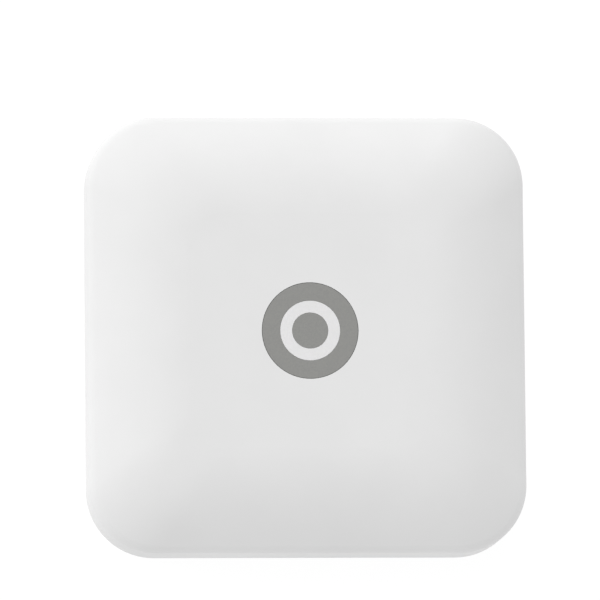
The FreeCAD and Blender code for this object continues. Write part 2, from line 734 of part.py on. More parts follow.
def badge_centre():
    body = new_body("badge_centre")
    disc = new_sketch(body, "badge_centre_outline", lift=INLAY_Z)
    draw_circle(disc, "ring_inner - 2 * 0.05")
    pad(body, disc, "badge_inlay")
    return body


def light_funnel():
    """The white reflector that stands on the board and carries the light up to the lens."""
    outer, inner = (doc.addObject("Part::Cone", f"funnel_{name}") for name in ("outside", "inside"))
    height = f"case_height - wall - fit_gap - {TOP_Z}"
    for cone, less in ((outer, "0"), (inner, "funnel_wall")):
        bind(cone, "Radius1", f"funnel_foot / 2 - {less}")
        bind(cone, "Radius2", f"funnel_mouth / 2 - {less}")
        bind(cone, "Height", height)
        bind(cone, "Placement.Base.z", TOP_Z)
    made = doc.addObject("Part::Cut", "light_funnel")
    made.Base, made.Tool = outer, inner
    return labelled(made, "light_funnel")


# ---------------------------------------------------------------- board and what is on it

def main_board():
    body = new_body("main_board")
    middle_y = f"({BOARD_REAR} + {BOARD_FRONT}) / 2"
    outline = new_sketch(body, "board_outline", y=middle_y, lift=BOARD_Z)
    draw_rectangle(outline, "board_width", f"{BOARD_REAR} - {BOARD_FRONT}", "board_radius")
    pad(body, outline, "board_thickness")
    hole = new_sketch(body, "board_hole", x=f"-{BOARD_SCREW_X}", y=BOARD_SCREW_FRONT, lift=TOP_Z)
    draw_circle(hole, "board_screw_diameter + 0.4")
    hole_cut = pocket(body, hole, "board_thickness")
    to_corners(body, [hole_cut], f"2 * {BOARD_SCREW_X}", BOARD_SCREW_STEP)
    return body


def heat_sink():
    """An aluminium block with upright fins, on a soft pad over the processor."""
    body = new_body("heat_sink")
    x, y = "main_processor_x", "main_processor_y"
    foot_z = f"{TOP_Z} + main_processor_height + pad_thickness"
    across = "(main_processor_across + 2 * sink_overhang)"
    outline = new_sketch(body, "sink_outline", x=x, y=y, lift=foot_z)
    draw_rectangle(outline, across, "main_processor_along + 2 * sink_overhang")
    pad(body, outline, "sink_height")
    first_x = f"{x} - 2.5 * sink_fin_pitch"
    groove = new_sketch(body, "sink_groove", x=first_x, y=y, lift=f"{foot_z} + sink_height")
    draw_rectangle(groove, "sink_gap", "main_processor_along + 2 * sink_overhang + 1")
    cut = pocket(body, groove, "sink_height - sink_foot")
    repeat(body, [cut], "X_Axis", "sink_fin_pitch", 6)
    return body


def power_capacitors():
    """Can capacitors on square plastic feet, each can and foot one piece."""
    parts = []
    for k, (x, y) in enumerate(CAPACITOR_SPOTS):
        side = "capacitor_foot_side"
        square = part_box(f"capacitor_foot_{k}", side, side, "capacitor_foot_height", x, y, TOP_Z)
        can = doc.addObject("Part::Cylinder", f"capacitor_can_{k}")
        bind(can, "Radius", "capacitor_diameter / 2")
        bind(can, "Height", "capacitor_height")
        bind(can, "Placement.Base.x", x)
        bind(can, "Placement.Base.y", y)
        bind(can, "Placement.Base.z", TOP_Z)
        joined = doc.addObject("Part::Fuse", f"capacitor_{k}")
        joined.Base = square
        joined.Tool = can
        parts.append(joined)
    return group("power_capacitors", parts)


def radio_module(name):
    """A radio on its own small board, under a sheet-metal can, with a bare strip for its lead plug."""
    x, y = f"{name}_x", f"{name}_y"
    across, along = f"{name}_across", f"{name}_along"
    thickness = "module_board_thickness"
    card = bevelled_box(f"{name}_radio_board", across, along, thickness, x, y, TOP_Z, "0.1")
    can = bevelled_box(
        f"{name}_radio_shield",
        f"{across} - 2 * module_can_inset",
        f"{along} - 2 * module_can_inset - module_plug_strip",
        "module_can_height",
        x,
        f"{y} - module_plug_strip / 2",
        f"{TOP_Z} + module_board_thickness",
        "0.3",
    )
    return [card, can]


def board_passives():
    """The resistors and capacitors around the chips, all one size, as one group."""
    rows = [
        # first one's place, step to the next, how many, and whether they lie along X
        ((-30.5, 3.5), (3.2, 0.0), 3, False),
        ((-31.0, 12.0), (0.0, 3.4), 5, True),
        ((14.0, 12.0), (3.1, 0.0), 5, False),
        ((11.5, -1.0), (0.0, 2.6), 4, True),
    ]
    pieces = []
    for (x, y), (step_x, step_y), count, along_x in rows:
        across, along = ("passive_width", "passive_length")
        if along_x:
            across, along = along, across
        for k in range(count):
            place = (x + k * step_x, y + k * step_y, TOP_Z)
            pieces.append(part_box(f"passive_{len(pieces)}", across, along, "passive_height", *place))
    return group("board_passives", pieces)


def group(label, pieces):
    """Pieces that are one node but don't touch."""
    made = doc.addObject("Part::Compound", label)
    made.Links = pieces
    return labelled(made, label)


# ---------------------------------------------------------------- ports

def jack_block(body, name, x, z, width, height, depth, front=JACK_Y):
    """A block that stands on z, with its rear face at y = front, and goes forward by depth."""
    outline = facing_sketch(body, name, x, f"{z} + ({height}) / 2", front)
    draw_rectangle(outline, width, height)
    return pad(body, outline, depth)


def jack_hollow(body, name, x, z, width, height, depth, front=JACK_Y):
    """A hollow with its floor at z, let into the face y = front by depth."""
    outline = facing_sketch(body, name, x, f"{z} + ({height}) / 2", front)
    draw_rectangle(outline, width, height)
    return pocket(body, outline, depth, reverse=True)


def round_hollow(body, name, x, z, diameter, depth, front=JACK_Y):
    """A round hollow about the axis x, z, let into the face y = front by depth."""
    outline = facing_sketch(body, name, x, z, front)
    draw_circle(outline, diameter)
    return pocket(body, outline, depth, reverse=True)


def rod(body, name, x, z, diameter, length, front):
    """A round rod about the axis x, z, with its end at y = front, that goes forward by length."""
    outline = facing_sketch(body, name, x, z, front)
    draw_circle(outline, diameter)
    return pad(body, outline, length)


def edges_in_plane_y(y):
    """A test for edges that lie in the plane y."""
    place = number(y)
    return lambda box: abs(box.YMin - place) < 1e-4 and abs(box.YMax - place) < 1e-4


def ethernet_jack():
    """The network socket: a sheet-metal can, its plastic housing and eight sprung wires."""
    inside = ("ethernet_width - 2 * ethernet_sheet", "ethernet_height - 2 * ethernet_sheet")
    depth = "(ethernet_depth - ethernet_sheet)"
    x, inside_z = "ethernet_x", f"{TOP_Z} + ethernet_sheet"
    shield = new_body("ethernet_shield")
    jack_block(shield, "shield_block", x, TOP_Z, "ethernet_width", "ethernet_height", "ethernet_depth")
    jack_hollow(shield, "shield_hollow", x, inside_z, *inside, depth)

    housing = new_body("ethernet_housing")
    face = f"({JACK_Y} - jack_set_back)"
    jack_block(housing, "housing_block", x, inside_z, *inside, f"{depth} - jack_set_back", face)
    latch_z = f"{TOP_Z} + plug_floor"
    plug_z = f"{latch_z} + latch_height"
    plug = ("plug_width", "plug_height", "plug_depth")
    latch = ("latch_width", "latch_height + 0.1", "plug_depth")
    jack_hollow(housing, "plug_hollow", x, plug_z, *plug, face)
    jack_hollow(housing, "latch_hollow", x, latch_z, *latch, face)

    wires = new_body("ethernet_contacts")
    place = {
        "x": f"{face} - plug_depth",
        "y": f"{plug_z} + plug_height",
        "lift": f"{x} - 3.5 * contact_pitch - contact_width / 2",
    }
    flat = new_sketch(wires, "wire", "YZ_Plane", **place)
    thick, reach, hang = "contact_thickness", "contact_reach", "contact_hang"
    draw_outline(flat, [("0", f"-{thick}"), (reach, f"-{thick}"), (reach, "0"), ("0", "0")])
    sprung = new_sketch(wires, "wire_spring", "YZ_Plane", **place)
    draw_outline(sprung, [
        (f"{reach} - 0.8", f"-{thick}"),
        (reach, f"-{thick}"),
        (f"{reach} - 6.6", f"-{hang}"),
        (f"{reach} - 7.2", f"0.2 - {hang}"),
    ])
    pads = [pad(wires, flat, "contact_width"), pad(wires, sprung, "contact_width")]
    repeat(wires, pads, "X_Axis", "contact_pitch", 8)
    return [shield, housing, wires]


def usb_jack():
    """The USB socket: a folded steel shell, a plastic tongue and four contacts."""
    x, z = "usb_x", f"{TOP_Z} + usb_lift"
    inside = ("usb_width - 2 * usb_sheet", "usb_height - 2 * usb_sheet")
    inside_z = f"{z} + usb_sheet"
    depth = "(usb_depth - usb_sheet)"
    shell = new_body("usb_shell")
    jack_block(shell, "usb_block", x, z, "usb_width", "usb_height", "usb_depth")
    jack_hollow(shell, "usb_hollow", x, inside_z, *inside, depth)
    leg_place = {"x": f"{x} - usb_width / 2 + usb_sheet / 2", "y": f"{JACK_Y} - usb_depth / 2"}
    leg = new_sketch(shell, "usb_leg", **leg_place, lift=TOP_Z)
    draw_rectangle(leg, "usb_sheet", "2.4")
    repeat(shell, [pad(shell, leg, "usb_lift")], "X_Axis", "usb_width - usb_sheet", 2)

    tongue = new_body("usb_tongue")
    back_face = f"{JACK_Y} - {depth} + usb_tongue_back"
    jack_block(tongue, "tongue_back", x, inside_z, *inside, "usb_tongue_back", back_face)
    blade_z = f"{inside_z} + {inside[1]} - usb_tongue_drop - usb_tongue_thickness"
    blade = ("usb_tongue_width", "usb_tongue_thickness", f"{depth} - usb_tongue_back")
    jack_block(tongue, "tongue_blade", x, blade_z, *blade, f"{JACK_Y} - 1.0")

    contacts = new_body("usb_contacts")
    strip = ("usb_contact_width", "usb_contact_thickness", "usb_contact_length")
    strip_z = f"{blade_z} - usb_contact_thickness"
    for k, offset in enumerate((-3.5, -1.0, 1.0, 3.5)):
        jack_block(contacts, f"usb_contact_{k}", f"{x} + {offset}", strip_z, *strip, f"{JACK_Y} - 2.4")
    return [shell, tongue, contacts]


def power_jack():
    """The barrel socket for the power adaptor: a moulded housing, its centre pin and the side spring."""
    x, axis_z = "power_x", f"{TOP_Z} + power_axis"
    bore_depth = "(power_depth - power_back)"
    housing = new_body("power_jack_housing")
    jack_block(housing, "power_block", x, TOP_Z, "power_width", "power_height", "power_depth")
    round_hollow(housing, "power_bore_hollow", x, axis_z, "power_bore", bore_depth)
    round_hollow(housing, "power_pin_seat", x, axis_z, "power_pin", f"{bore_depth} + power_pin_root")
    slot_z = f"{axis_z} - power_bore / 2 - power_slot_height / 2"
    slot = ("power_slot_width", "power_slot_height")
    jack_hollow(housing, "power_spring_slot", x, slot_z, *slot, bore_depth)

    pin = new_body("power_jack_pin")
    tip_y = f"{JACK_Y} - power_pin_set_back"
    pin_length = f"{bore_depth} + power_pin_root - power_pin_set_back"
    pin_rod = rod(pin, "power_pin_rod", x, axis_z, "power_pin", pin_length, tip_y)
    round_edges(pin, pin_rod, edges_in_plane_y(tip_y), "0.7")

    spring = new_body("power_jack_spring")
    leaf_place = {
        "x": f"{JACK_Y} - {bore_depth}",
        "y": f"{slot_z} + 0.1",
        "lift": f"{x} - power_leaf_width / 2",
    }
    leaf = new_sketch(spring, "power_leaf", "YZ_Plane", **leaf_place)
    end = f"{bore_depth} - power_leaf_end"
    thick = "power_leaf_thickness"
    crest = f"{thick} + 0.8"
    draw_outline(leaf, [("0", "0"), (end, "0"), (end, thick), ("5.6", crest), ("4.8", crest), ("0", thick)])
    pad(spring, leaf, "power_leaf_width")
    return [housing, pin, spring]


# ---------------------------------------------------------------- buttons

def pair_button_cap():
    """The pairing button's cap, which shows in the port recess. Its flange holds it behind the wall."""
    body = new_body("pair_button_cap")
    x, z = "button_x", f"{TOP_Z} + button_axis"
    face_y = f"({RECESS_Y} + button_proud)"
    flange_y = f"({INNER_Y} - 0.05)"
    flange_end = f"({flange_y} - button_flange_thickness)"
    rod(body, "button_head", x, z, "button_diameter", f"{face_y} - {flange_end}", face_y)
    flange_diameter = "button_diameter + 2 * button_flange_lip"
    rod(body, "button_flange", x, z, flange_diameter, "button_flange_thickness", flange_y)
    stem = rod(body, "button_stem_rod", x, z, "button_stem", f"{flange_end} - {PLUNGER_Y}", flange_end)
    round_edges(body, stem, edges_in_plane_y(face_y), "0.4")
    return body


def pair_switch():
    """The side-pushed switch behind the pairing button: its body and its plunger."""
    x, axis_z = "button_x", f"{TOP_Z} + button_axis"
    face_y = f"({PLUNGER_Y} - plunger_proud)"
    case = new_body("pair_switch_body")
    case_height = "button_axis + switch_side / 2 - 0.2"
    jack_block(case, "pair_switch_block", x, TOP_Z, "switch_side", case_height, "switch_depth", face_y)
    bore_depth = "plunger_length - plunger_proud + plunger_room"
    bore = "plunger_diameter + 2 * plunger_gap"
    round_hollow(case, "pair_switch_bore", x, axis_z, bore, bore_depth, face_y)
    plunger = new_body("pair_switch_plunger")
    rod(plunger, "pair_plunger_rod", x, axis_z, "plunger_diameter", "plunger_length", PLUNGER_Y)
    return [case, plunger]


def reset_switch():
    """The small switch behind the pin-hole: its body and its plunger."""
    x = "reset_x"
    plunger_z = f"{TOP_Z} + reset_axis - reset_plunger_height / 2"
    face_y = f"({BOARD_REAR} - 0.8)"
    case = new_body("reset_switch_body")
    jack_block(case, "reset_block", x, TOP_Z, "reset_width", "reset_height", "reset_depth", face_y)
    bore = ("reset_plunger_width + 2 * plunger_gap", "reset_plunger_height + 2 * plunger_gap")
    bore_depth = "reset_plunger_length - reset_plunger_proud + reset_plunger_room"
    jack_hollow(case, "reset_bore", x, f"{plunger_z} - plunger_gap", *bore, bore_depth, face_y)
    plunger = new_body("reset_switch_plunger")
    sizes = ("reset_plunger_width", "reset_plunger_height", "reset_plunger_length")
    jack_block(plunger, "reset_plunger_block", x, plunger_z, *sizes, f"{face_y} + reset_plunger_proud")
    return [case, plunger]


# ---------------------------------------------------------------- antennas

def antenna(name, side):
    """A flexible antenna stuck to the inner face of a side wall."""
    x = f"{side} * ({INNER_Y} - antenna_thickness / 2)"
    low = f"{FLOOR_Z} + lip_height + 2.0"
    label = f"{name}_antenna"
    made = part_box(label, "antenna_thickness", "antenna_length", "antenna_width", x, "antenna_y", low)
    return labelled(made, label)


def lead_plug(name, side):
    """The snap-on plug at the radio's end of an antenna lead, in the outer corner of the bare strip."""
    x = f"{name}_x + {side} * ({name}_across / 2 - module_can_inset - plug_side)"
    y = f"{name}_y + {name}_along / 2 - module_plug_strip / 2 - 0.2"
    z = f"{TOP_Z} + module_board_thickness"
    return bevelled_box(f"{name}_lead_plug", "plug_side", "plug_side", "plug_top", x, y, z, "0.3")


def antenna_lead(name, side):
    """The thin coaxial lead from an antenna to its radio: straight runs joined by tangent arcs."""
    radius = number("lead_diameter") / 2
    wall_x = number(f"{INNER_Y} - antenna_thickness") - radius - 0.03
    wall_y = number("antenna_y")
    plug_x = abs(number(f"{name}_x + {side} * ({name}_across / 2 - module_can_inset - plug_side / 2)"))
    plug_y = number(f"{name}_y + {name}_along / 2 - module_plug_strip / 2 - 0.2")
    low = number(f"{TOP_Z} + module_board_thickness + plug_top / 2 + 0.2")
    points = [
        V(side * wall_x, wall_y, low + 6.0),
        V(side * wall_x, wall_y, low + 0.4),
        V(side * (wall_x - 9.0), wall_y, low),
        V(side * (plug_x + 9.0), plug_y, low),
        V(side * plug_x, plug_y, low),
    ]
    path = rounded_path(points)
    circle = Part.Wire(Part.Circle(points[0], points[1] - points[0], radius).toShape())
    solid = path.makePipeShell([circle], True, True)
    whole = math.pi * radius ** 2 * path.Length
    if abs(solid.Volume / whole - 1) > 0.02:
        raise RuntimeError(f"{name}_lead: the pipe's volume is off")
    made = doc.addObject("Part::Feature", f"{name}_lead")
    made.Shape = solid
    return labelled(made, f"{name}_lead")


def rounded_path(points):
    """Straight runs through points, with each corner an arc as large as its two runs allow."""
    edges, last = [], points[0]
    for before, corner, after in zip(points, points[1:], points[2:]):
        back, ahead = before - corner, after - corner
        reach = 0.45 * min(back.Length, ahead.Length)
        back.normalize()
        ahead.normalize()
        half_turn = (math.pi - back.getAngle(ahead)) / 2
        radius = reach / math.tan(half_turn)
        middle_way = back + ahead
        middle_way.normalize()
        centre_gap = radius / math.cos(half_turn) - radius
        start = corner + back * reach
        middle = corner + middle_way * centre_gap
        end = corner + ahead * reach
        edges += [Part.LineSegment(last, start).toShape(), Part.Arc(start, middle, end).toShape()]
        print(f"  lead arc radius {radius:.1f}")
        last = end
    edges.append(Part.LineSegment(last, points[-1]).toShape())
    return Part.Wire(edges)


def chip(name):
    """One of the plain packages listed in CHIPS, on the board."""
    sizes = (f"{name}_{key}" for key in ("across", "along", "height", "x", "y"))
    return bevelled_box(name, *sizes, TOP_Z, f"{name}_bevel")


def build():
    """Every sub-part of the hub, in the order that it is put together."""
    made = [top_cover(), base_cover(), rating_label()]
    for name, (side_x, side_y) in CORNERS.items():
        made.append(foot(f"foot_{name}", side_x, side_y))
    made.append(case_screws())
    made += [status_lens(), badge_ring(), badge_centre(), light_funnel()]
    led_sizes = ("led_side", "led_side", "led_height")
    made.append(bevelled_box("status_led", *led_sizes, "0", "0", TOP_Z, "0.2"))
    made += [main_board(), board_screws()]
    made += [chip(name) for name in CHIPS]
    pad_across = "main_processor_across - 2 * pad_inset"
    pad_along = "main_processor_along - 2 * pad_inset"
    pad_place = ("main_processor_x", "main_processor_y", f"{TOP_Z} + main_processor_height")
    thermal_pad = part_box("thermal_pad", pad_across, pad_along, "pad_thickness", *pad_place)
    made += [labelled(thermal_pad, "thermal_pad"), heat_sink(), power_capacitors(), board_passives()]
    made += ethernet_jack() + usb_jack() + power_jack()
    made += [pair_button_cap()] + pair_switch() + reset_switch()
    for name, side in (("wifi", 1), ("zigbee", -1)):
        made += radio_module(name)
        made += [antenna(name, side), lead_plug(name, side), antenna_lead(name, side)]
    return made


def write_parts(made):
    """Checks every object of the document, then writes one STEP file for each sub-part."""
    doc.recompute()
    for item in doc.Objects:
        if any(state in ("Invalid", "Error") for state in item.State):
            raise RuntimeError(f"{item.Name} failed: {item.State}")
    os.makedirs("parts", exist_ok=True)
    for item in made:
        shape = item.Shape
        if shape.isNull() or not shape.isValid() or not shape.Solids:
            raise RuntimeError(f"{item.Label} has no valid solid")
        shape.exportStep(os.path.join("parts", f"{item.Label}.step"))
        print(f"{item.Label}: {len(shape.Solids)} solid(s), {shape.Volume:.1f} mm3")


write_parts(build())
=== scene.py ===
"""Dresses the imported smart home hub: its finishes, its small fittings, and the floor, light and camera."""

import logging
import math
from collections.abc import Iterable
from dataclasses import dataclass, field
from enum import Enum

import bmesh
import bpy
from mathutils import Matrix, Vector


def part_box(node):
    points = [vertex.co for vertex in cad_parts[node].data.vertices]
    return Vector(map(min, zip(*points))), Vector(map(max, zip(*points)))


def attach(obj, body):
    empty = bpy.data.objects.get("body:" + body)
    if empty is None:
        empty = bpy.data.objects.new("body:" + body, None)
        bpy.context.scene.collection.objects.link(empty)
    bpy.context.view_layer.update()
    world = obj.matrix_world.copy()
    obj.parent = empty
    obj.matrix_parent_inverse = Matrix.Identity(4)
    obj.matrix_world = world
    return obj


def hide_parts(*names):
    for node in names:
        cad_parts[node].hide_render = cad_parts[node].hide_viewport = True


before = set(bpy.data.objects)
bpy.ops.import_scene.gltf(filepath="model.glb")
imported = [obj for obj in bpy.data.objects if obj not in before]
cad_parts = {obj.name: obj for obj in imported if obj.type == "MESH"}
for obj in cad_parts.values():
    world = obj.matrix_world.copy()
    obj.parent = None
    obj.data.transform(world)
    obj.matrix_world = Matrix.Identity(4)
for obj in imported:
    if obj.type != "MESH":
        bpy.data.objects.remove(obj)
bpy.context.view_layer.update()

MM = 0.001
CREASE = math.radians(50)  # edges sharper than this stay sharp in the shading
ROUND_STEPS = 48  # faces round a small turned piece
FINE_STEPS = 64  # and round a larger one
X, Y, Z = Vector((1.0, 0.0, 0.0)), Vector((0.0, 1.0, 0.0)), Vector((0.0, 0.0, 1.0))
log = logging.getLogger("hub")

Socket = bpy.types.NodeSocket
Piece = bpy.types.Object
Material = bpy.types.Material
Corner = bmesh.types.BMVert
Rectangle = tuple[float, float, float, float]  # low and high across, then low and high up
Profile = list[tuple[float, float]]  # radius, and reach along the axis, of each corner
Bends = tuple[tuple[float, float], ...]  # how far out of its wall, and how far back, a spring bends

COLOURS = {"data_type": "RGBA"}
FACTOR, FIRST, SECOND, BLENDED = 0, 6, 7, 2  # where a Mix node keeps its colours
MIDDLE = {"From Min": 0.3, "From Max": 0.7}  # where most values of a noise lie
WAVE_REPEAT = math.tau / 20  # how far a Wave at a scale of 1 goes before it repeats


# ---------------------------------------------------------------- materials


def linear(colour: str) -> tuple[float, float, float, float]:
    """Turns a colour to the linear values that shaders take.

    Args:
        colour: an sRGB hex value, such as "E8E8E6".

    Returns:
        Red, green, blue and an alpha of 1.
    """
    channels = [int(colour[k : k + 2], 16) / 255 for k in (0, 2, 4)]
    turned = [c / 12.92 if c <= 0.04045 else ((c + 0.055) / 1.055) ** 2.4 for c in channels]
    return (turned[0], turned[1], turned[2], 1.0)


def per_metre(size_mm: float) -> float:
    """The scale at which a pattern repeats every so many millimetres."""
    return 1 / (size_mm * MM)


class Graph:
    """The node tree of one material, with its shader and output in place."""

    def __init__(self, name: str) -> None:
        """Makes an empty material.

        Args:
            name: the material's name.
        """
        self.material = bpy.data.materials.new(name)
        self.material.use_nodes = True
        self.tree = self.material.node_tree
        self.tree.nodes.clear()
        output = self.tree.nodes.new("ShaderNodeOutputMaterial")
        self.shader = self.tree.nodes.new("ShaderNodeBsdfPrincipled")
        self.tree.links.new(self.shader.outputs["BSDF"], output.inputs["Surface"])
        self.place = self.add("ShaderNodeTexCoord", "Object", {}, {})

    def add(
        self, kind: str, output: str | int, settings: dict[str, object], inputs: dict[str | int, object]
    ) -> Socket:
        """Adds one node with its settings and links.

        Args:
            kind: the node's type.
            output: which of its outputs is wanted.
            settings: attributes of the node itself.
            inputs: values, or the outputs of other nodes, for its inputs.

        Returns:
            The wanted output.
        """
        node = self.tree.nodes.new(kind)
        for key, value in settings.items():
            setattr(node, key, value)
        for key, value in inputs.items():
            self.put(node.inputs[key], value)
        return node.outputs[output]

    def put(self, socket: Socket, value: object) -> None:
        """Links an output to a socket, or sets the socket's own value.

        Args:
            socket: the input to feed.
            value: another node's output, or a plain value.
        """
        if isinstance(value, Socket):
            self.tree.links.new(value, socket)
        else:
            socket.default_value = value

    def set(self, inputs: dict[str, object]) -> None:
        """Sets or links the shader's own inputs.

        Args:
            inputs: values, or the outputs of other nodes.
        """
        for key, value in inputs.items():
            self.put(self.shader.inputs[key], value)


@dataclass(frozen=True)
class MouldedPlastic:
    """An injection-moulded plastic with a spark-eroded grain.

    The grain breaks up the highlights, and swallows most of the glancing shine on a matt shell. A very broad
    unevenness of its gloss shows where the melt cooled.
    """

    name: str
    colour: str
    second: str
    roughness: float
    grain_mm: float = 0.35
    grain_depth_mm: float = 0.012
    cooling_mm: float = 18.0
    shine: float = 0.5  # 0.5 is the full shine of a smooth face

    def build(self) -> Material:
        """Makes the material.

        Returns:
            The material.
        """
        graph = Graph(self.name)
        cooled = graph.add("ShaderNodeTexNoise", "Fac", {}, {
            "Vector": graph.place, "Scale": per_metre(self.cooling_mm), "Detail": 3.0,
        })
        grain = graph.add("ShaderNodeTexNoise", "Fac", {}, {
            "Vector": graph.place, "Scale": per_metre(self.grain_mm), "Detail": 3.0, "Roughness": 0.6,
        })
        share = graph.add("ShaderNodeMapRange", "Result", {}, {"Value": cooled, **MIDDLE})
        graph.set({
            "Base Color": graph.add("ShaderNodeMix", BLENDED, COLOURS, {
                FACTOR: share, FIRST: linear(self.colour), SECOND: linear(self.second),
            }),
            "Roughness": graph.add("ShaderNodeMapRange", "Result", {}, {
                "Value": share, "To Min": self.roughness - 0.03, "To Max": self.roughness + 0.04,
            }),
            "IOR": 1.53,
            "Specular IOR Level": self.shine,
            "Normal": graph.add("ShaderNodeBump", "Normal", {}, {
                "Height": grain, "Distance": self.grain_depth_mm * MM,
            }),
        })
        return graph.material


@dataclass(frozen=True)
class Rubber:
    """A compression-moulded rubber: matt, with a dusty bloom that lightens it in patches."""

    name: str
    colour: str
    bloom: str
    roughness: float = 0.78
    patch_mm: float = 4.0
    pore_mm: float = 0.25
    pore_depth_mm: float = 0.03

    def build(self) -> Material:
        """Makes the material.

        Returns:
            The material.
        """
        graph = Graph(self.name)
        patches = graph.add("ShaderNodeTexNoise", "Fac", {}, {
            "Vector": graph.place, "Scale": per_metre(self.patch_mm), "Detail": 5.0, "Roughness": 0.65,
        })
        dusty = graph.add("ShaderNodeMapRange", "Result", {}, {
            "Value": patches, "From Min": 0.35, "From Max": 0.75,
        })
        pores = graph.add("ShaderNodeTexNoise", "Fac", {}, {
            "Vector": graph.place, "Scale": per_metre(self.pore_mm),
        })
        graph.set({
            "Base Color": graph.add("ShaderNodeMix", BLENDED, COLOURS, {
                FACTOR: dusty, FIRST: linear(self.colour), SECOND: linear(self.bloom),
            }),
            "Roughness": graph.add("ShaderNodeMapRange", "Result", {}, {
                "Value": patches, **MIDDLE, "To Min": self.roughness - 0.06, "To Max": self.roughness + 0.08,
            }),
            "IOR": 1.52,
            "Normal": graph.add("ShaderNodeBump", "Normal", {}, {
                "Height": pores, "Distance": self.pore_depth_mm * MM,
            }),
        })
        return graph.material


@dataclass(frozen=True)
class Metal:
    """A plated, drawn or extruded metal: fine lines stretched one way, and patches where it has dulled."""

    name: str
    colour: str
    dulled: str
    roughness: float
    stretch: tuple[float, float, float] = (1.0, 1.0, 14.0)  # how much finer the lines are along each axis
    line_mm: float = 4.0
    line_depth_mm: float = 0.008
    patch_mm: float = 3.0

    def build(self) -> Material:
        """Makes the material.

        Returns:
            The material.
        """
        graph = Graph(self.name)
        stretched = graph.add("ShaderNodeMapping", "Vector", {}, {
            "Vector": graph.place, "Scale": self.stretch,
        })
        lines = graph.add("ShaderNodeTexNoise", "Fac", {}, {
            "Vector": stretched, "Scale": per_metre(self.line_mm), "Detail": 4.0, "Roughness": 0.7,
        })
        patches = graph.add("ShaderNodeTexNoise", "Fac", {}, {
            "Vector": graph.place, "Scale": per_metre(self.patch_mm), "Detail": 4.0,
        })
        worn = graph.add("ShaderNodeMapRange", "Result", {}, {
            "Value": patches, "From Min": 0.4, "From Max": 0.75,
        })
        graph.set({
            "Base Color": graph.add("ShaderNodeMix", BLENDED, COLOURS, {
                FACTOR: worn, FIRST: linear(self.colour), SECOND: linear(self.dulled),
            }),
            "Metallic": 1.0,
            "Roughness": graph.add("ShaderNodeMapRange", "Result", {}, {
                "Value": lines, **MIDDLE, "To Min": self.roughness - 0.07, "To Max": self.roughness + 0.1,
            }),
            "Normal": graph.add("ShaderNodeBump", "Normal", {}, {
                "Height": lines, "Distance": self.line_depth_mm * MM,
            }),
        })
        return graph.material


@dataclass(frozen=True)
class CircuitBoard:
    """Glass fibre under solder mask: bundles of tracks and small round vias stand up under it and lighten it.

    The cut edge has no mask and no copper, so the bare yellowish fibre shows there.
    """

    name: str
    mask: str
    track: str
    bundle_mm: float = 6.5  # how far a bundle of tracks runs before the next one turns
    pitch_mm: float = 0.9  # from track to track, about twice the real pitch, so that it shows
    via_pitch_mm: float = 2.4
    track_depth_mm: float = 0.035
    weave_mm: float = 0.5
    weave_depth_mm: float = 0.01
    fibre: str = "8C8D5E"  # bare, at the cut edge

    def build(self) -> Material:
        """Makes the material.

        Returns:
            The material.
        """
        graph = Graph(self.name)
        wave = WAVE_REPEAT * per_metre(self.pitch_mm)
        along, across = [
            graph.add("ShaderNodeTexWave", "Fac", {"bands_direction": way}, {
                "Vector": graph.place, "Scale": wave,
            })
            for way in ("X", "Y")
        ]
        bundles = graph.add("ShaderNodeTexVoronoi", "Color", {"distance": "CHEBYCHEV"}, {
            "Vector": graph.place, "Scale": per_metre(self.bundle_mm), "Randomness": 0.8,
        })
        turned = graph.add("ShaderNodeMapRange", "Result", {}, {
            "Value": bundles, "From Min": 0.49, "From Max": 0.51,
        })
        lines = graph.add("ShaderNodeMix", "Result", {"data_type": "FLOAT"}, {
            "Factor": turned, "A": along, "B": across,
        })
        tracks = graph.add("ShaderNodeMapRange", "Result", {}, {
            "Value": lines, "From Min": 0.6, "From Max": 0.72,
        })
        spots = graph.add("ShaderNodeTexVoronoi", "Distance", {}, {
            "Vector": graph.place, "Scale": per_metre(self.via_pitch_mm), "Randomness": 0.9,
        })
        vias = graph.add("ShaderNodeMapRange", "Result", {}, {
            "Value": spots, "From Min": 0.13, "From Max": 0.17, "To Min": 1.0, "To Max": 0.0,
        })
        facing = graph.add("ShaderNodeTexCoord", "Normal", {}, {})
        rise = graph.add("ShaderNodeSeparateXYZ", "Z", {}, {"Vector": facing})
        steep = graph.add("ShaderNodeMath", "Value", {"operation": "ABSOLUTE"}, {0: rise})
        level = graph.add("ShaderNodeMath", "Value", {"operation": "GREATER_THAN"}, {0: steep, 1: 0.5})
        etched = graph.add("ShaderNodeMath", "Value", {"operation": "MAXIMUM"}, {0: tracks, 1: vias})
        copper = graph.add("ShaderNodeMath", "Value", {"operation": "MULTIPLY"}, {0: etched, 1: level})
        masked = graph.add("ShaderNodeMix", BLENDED, COLOURS, {
            FACTOR: copper, FIRST: linear(self.mask), SECOND: linear(self.track),
        })
        weave = graph.add("ShaderNodeTexNoise", "Fac", {}, {
            "Vector": graph.place, "Scale": per_metre(self.weave_mm),
        })
        woven = graph.add("ShaderNodeBump", "Normal", {}, {
            "Height": weave, "Distance": self.weave_depth_mm * MM,
        })
        graph.set({
            "Base Color": graph.add("ShaderNodeMix", BLENDED, COLOURS, {
                FACTOR: level, FIRST: linear(self.fibre), SECOND: masked,
            }),
            "Roughness": graph.add("ShaderNodeMapRange", "Result", {}, {
                "Value": weave, **MIDDLE, "To Min": 0.28, "To Max": 0.4,
            }),
            "IOR": 1.5,
            "Normal": graph.add("ShaderNodeBump", "Normal", {}, {
                "Height": copper, "Distance": self.track_depth_mm * MM, "Normal": woven,
            }),
        })
        return graph.material


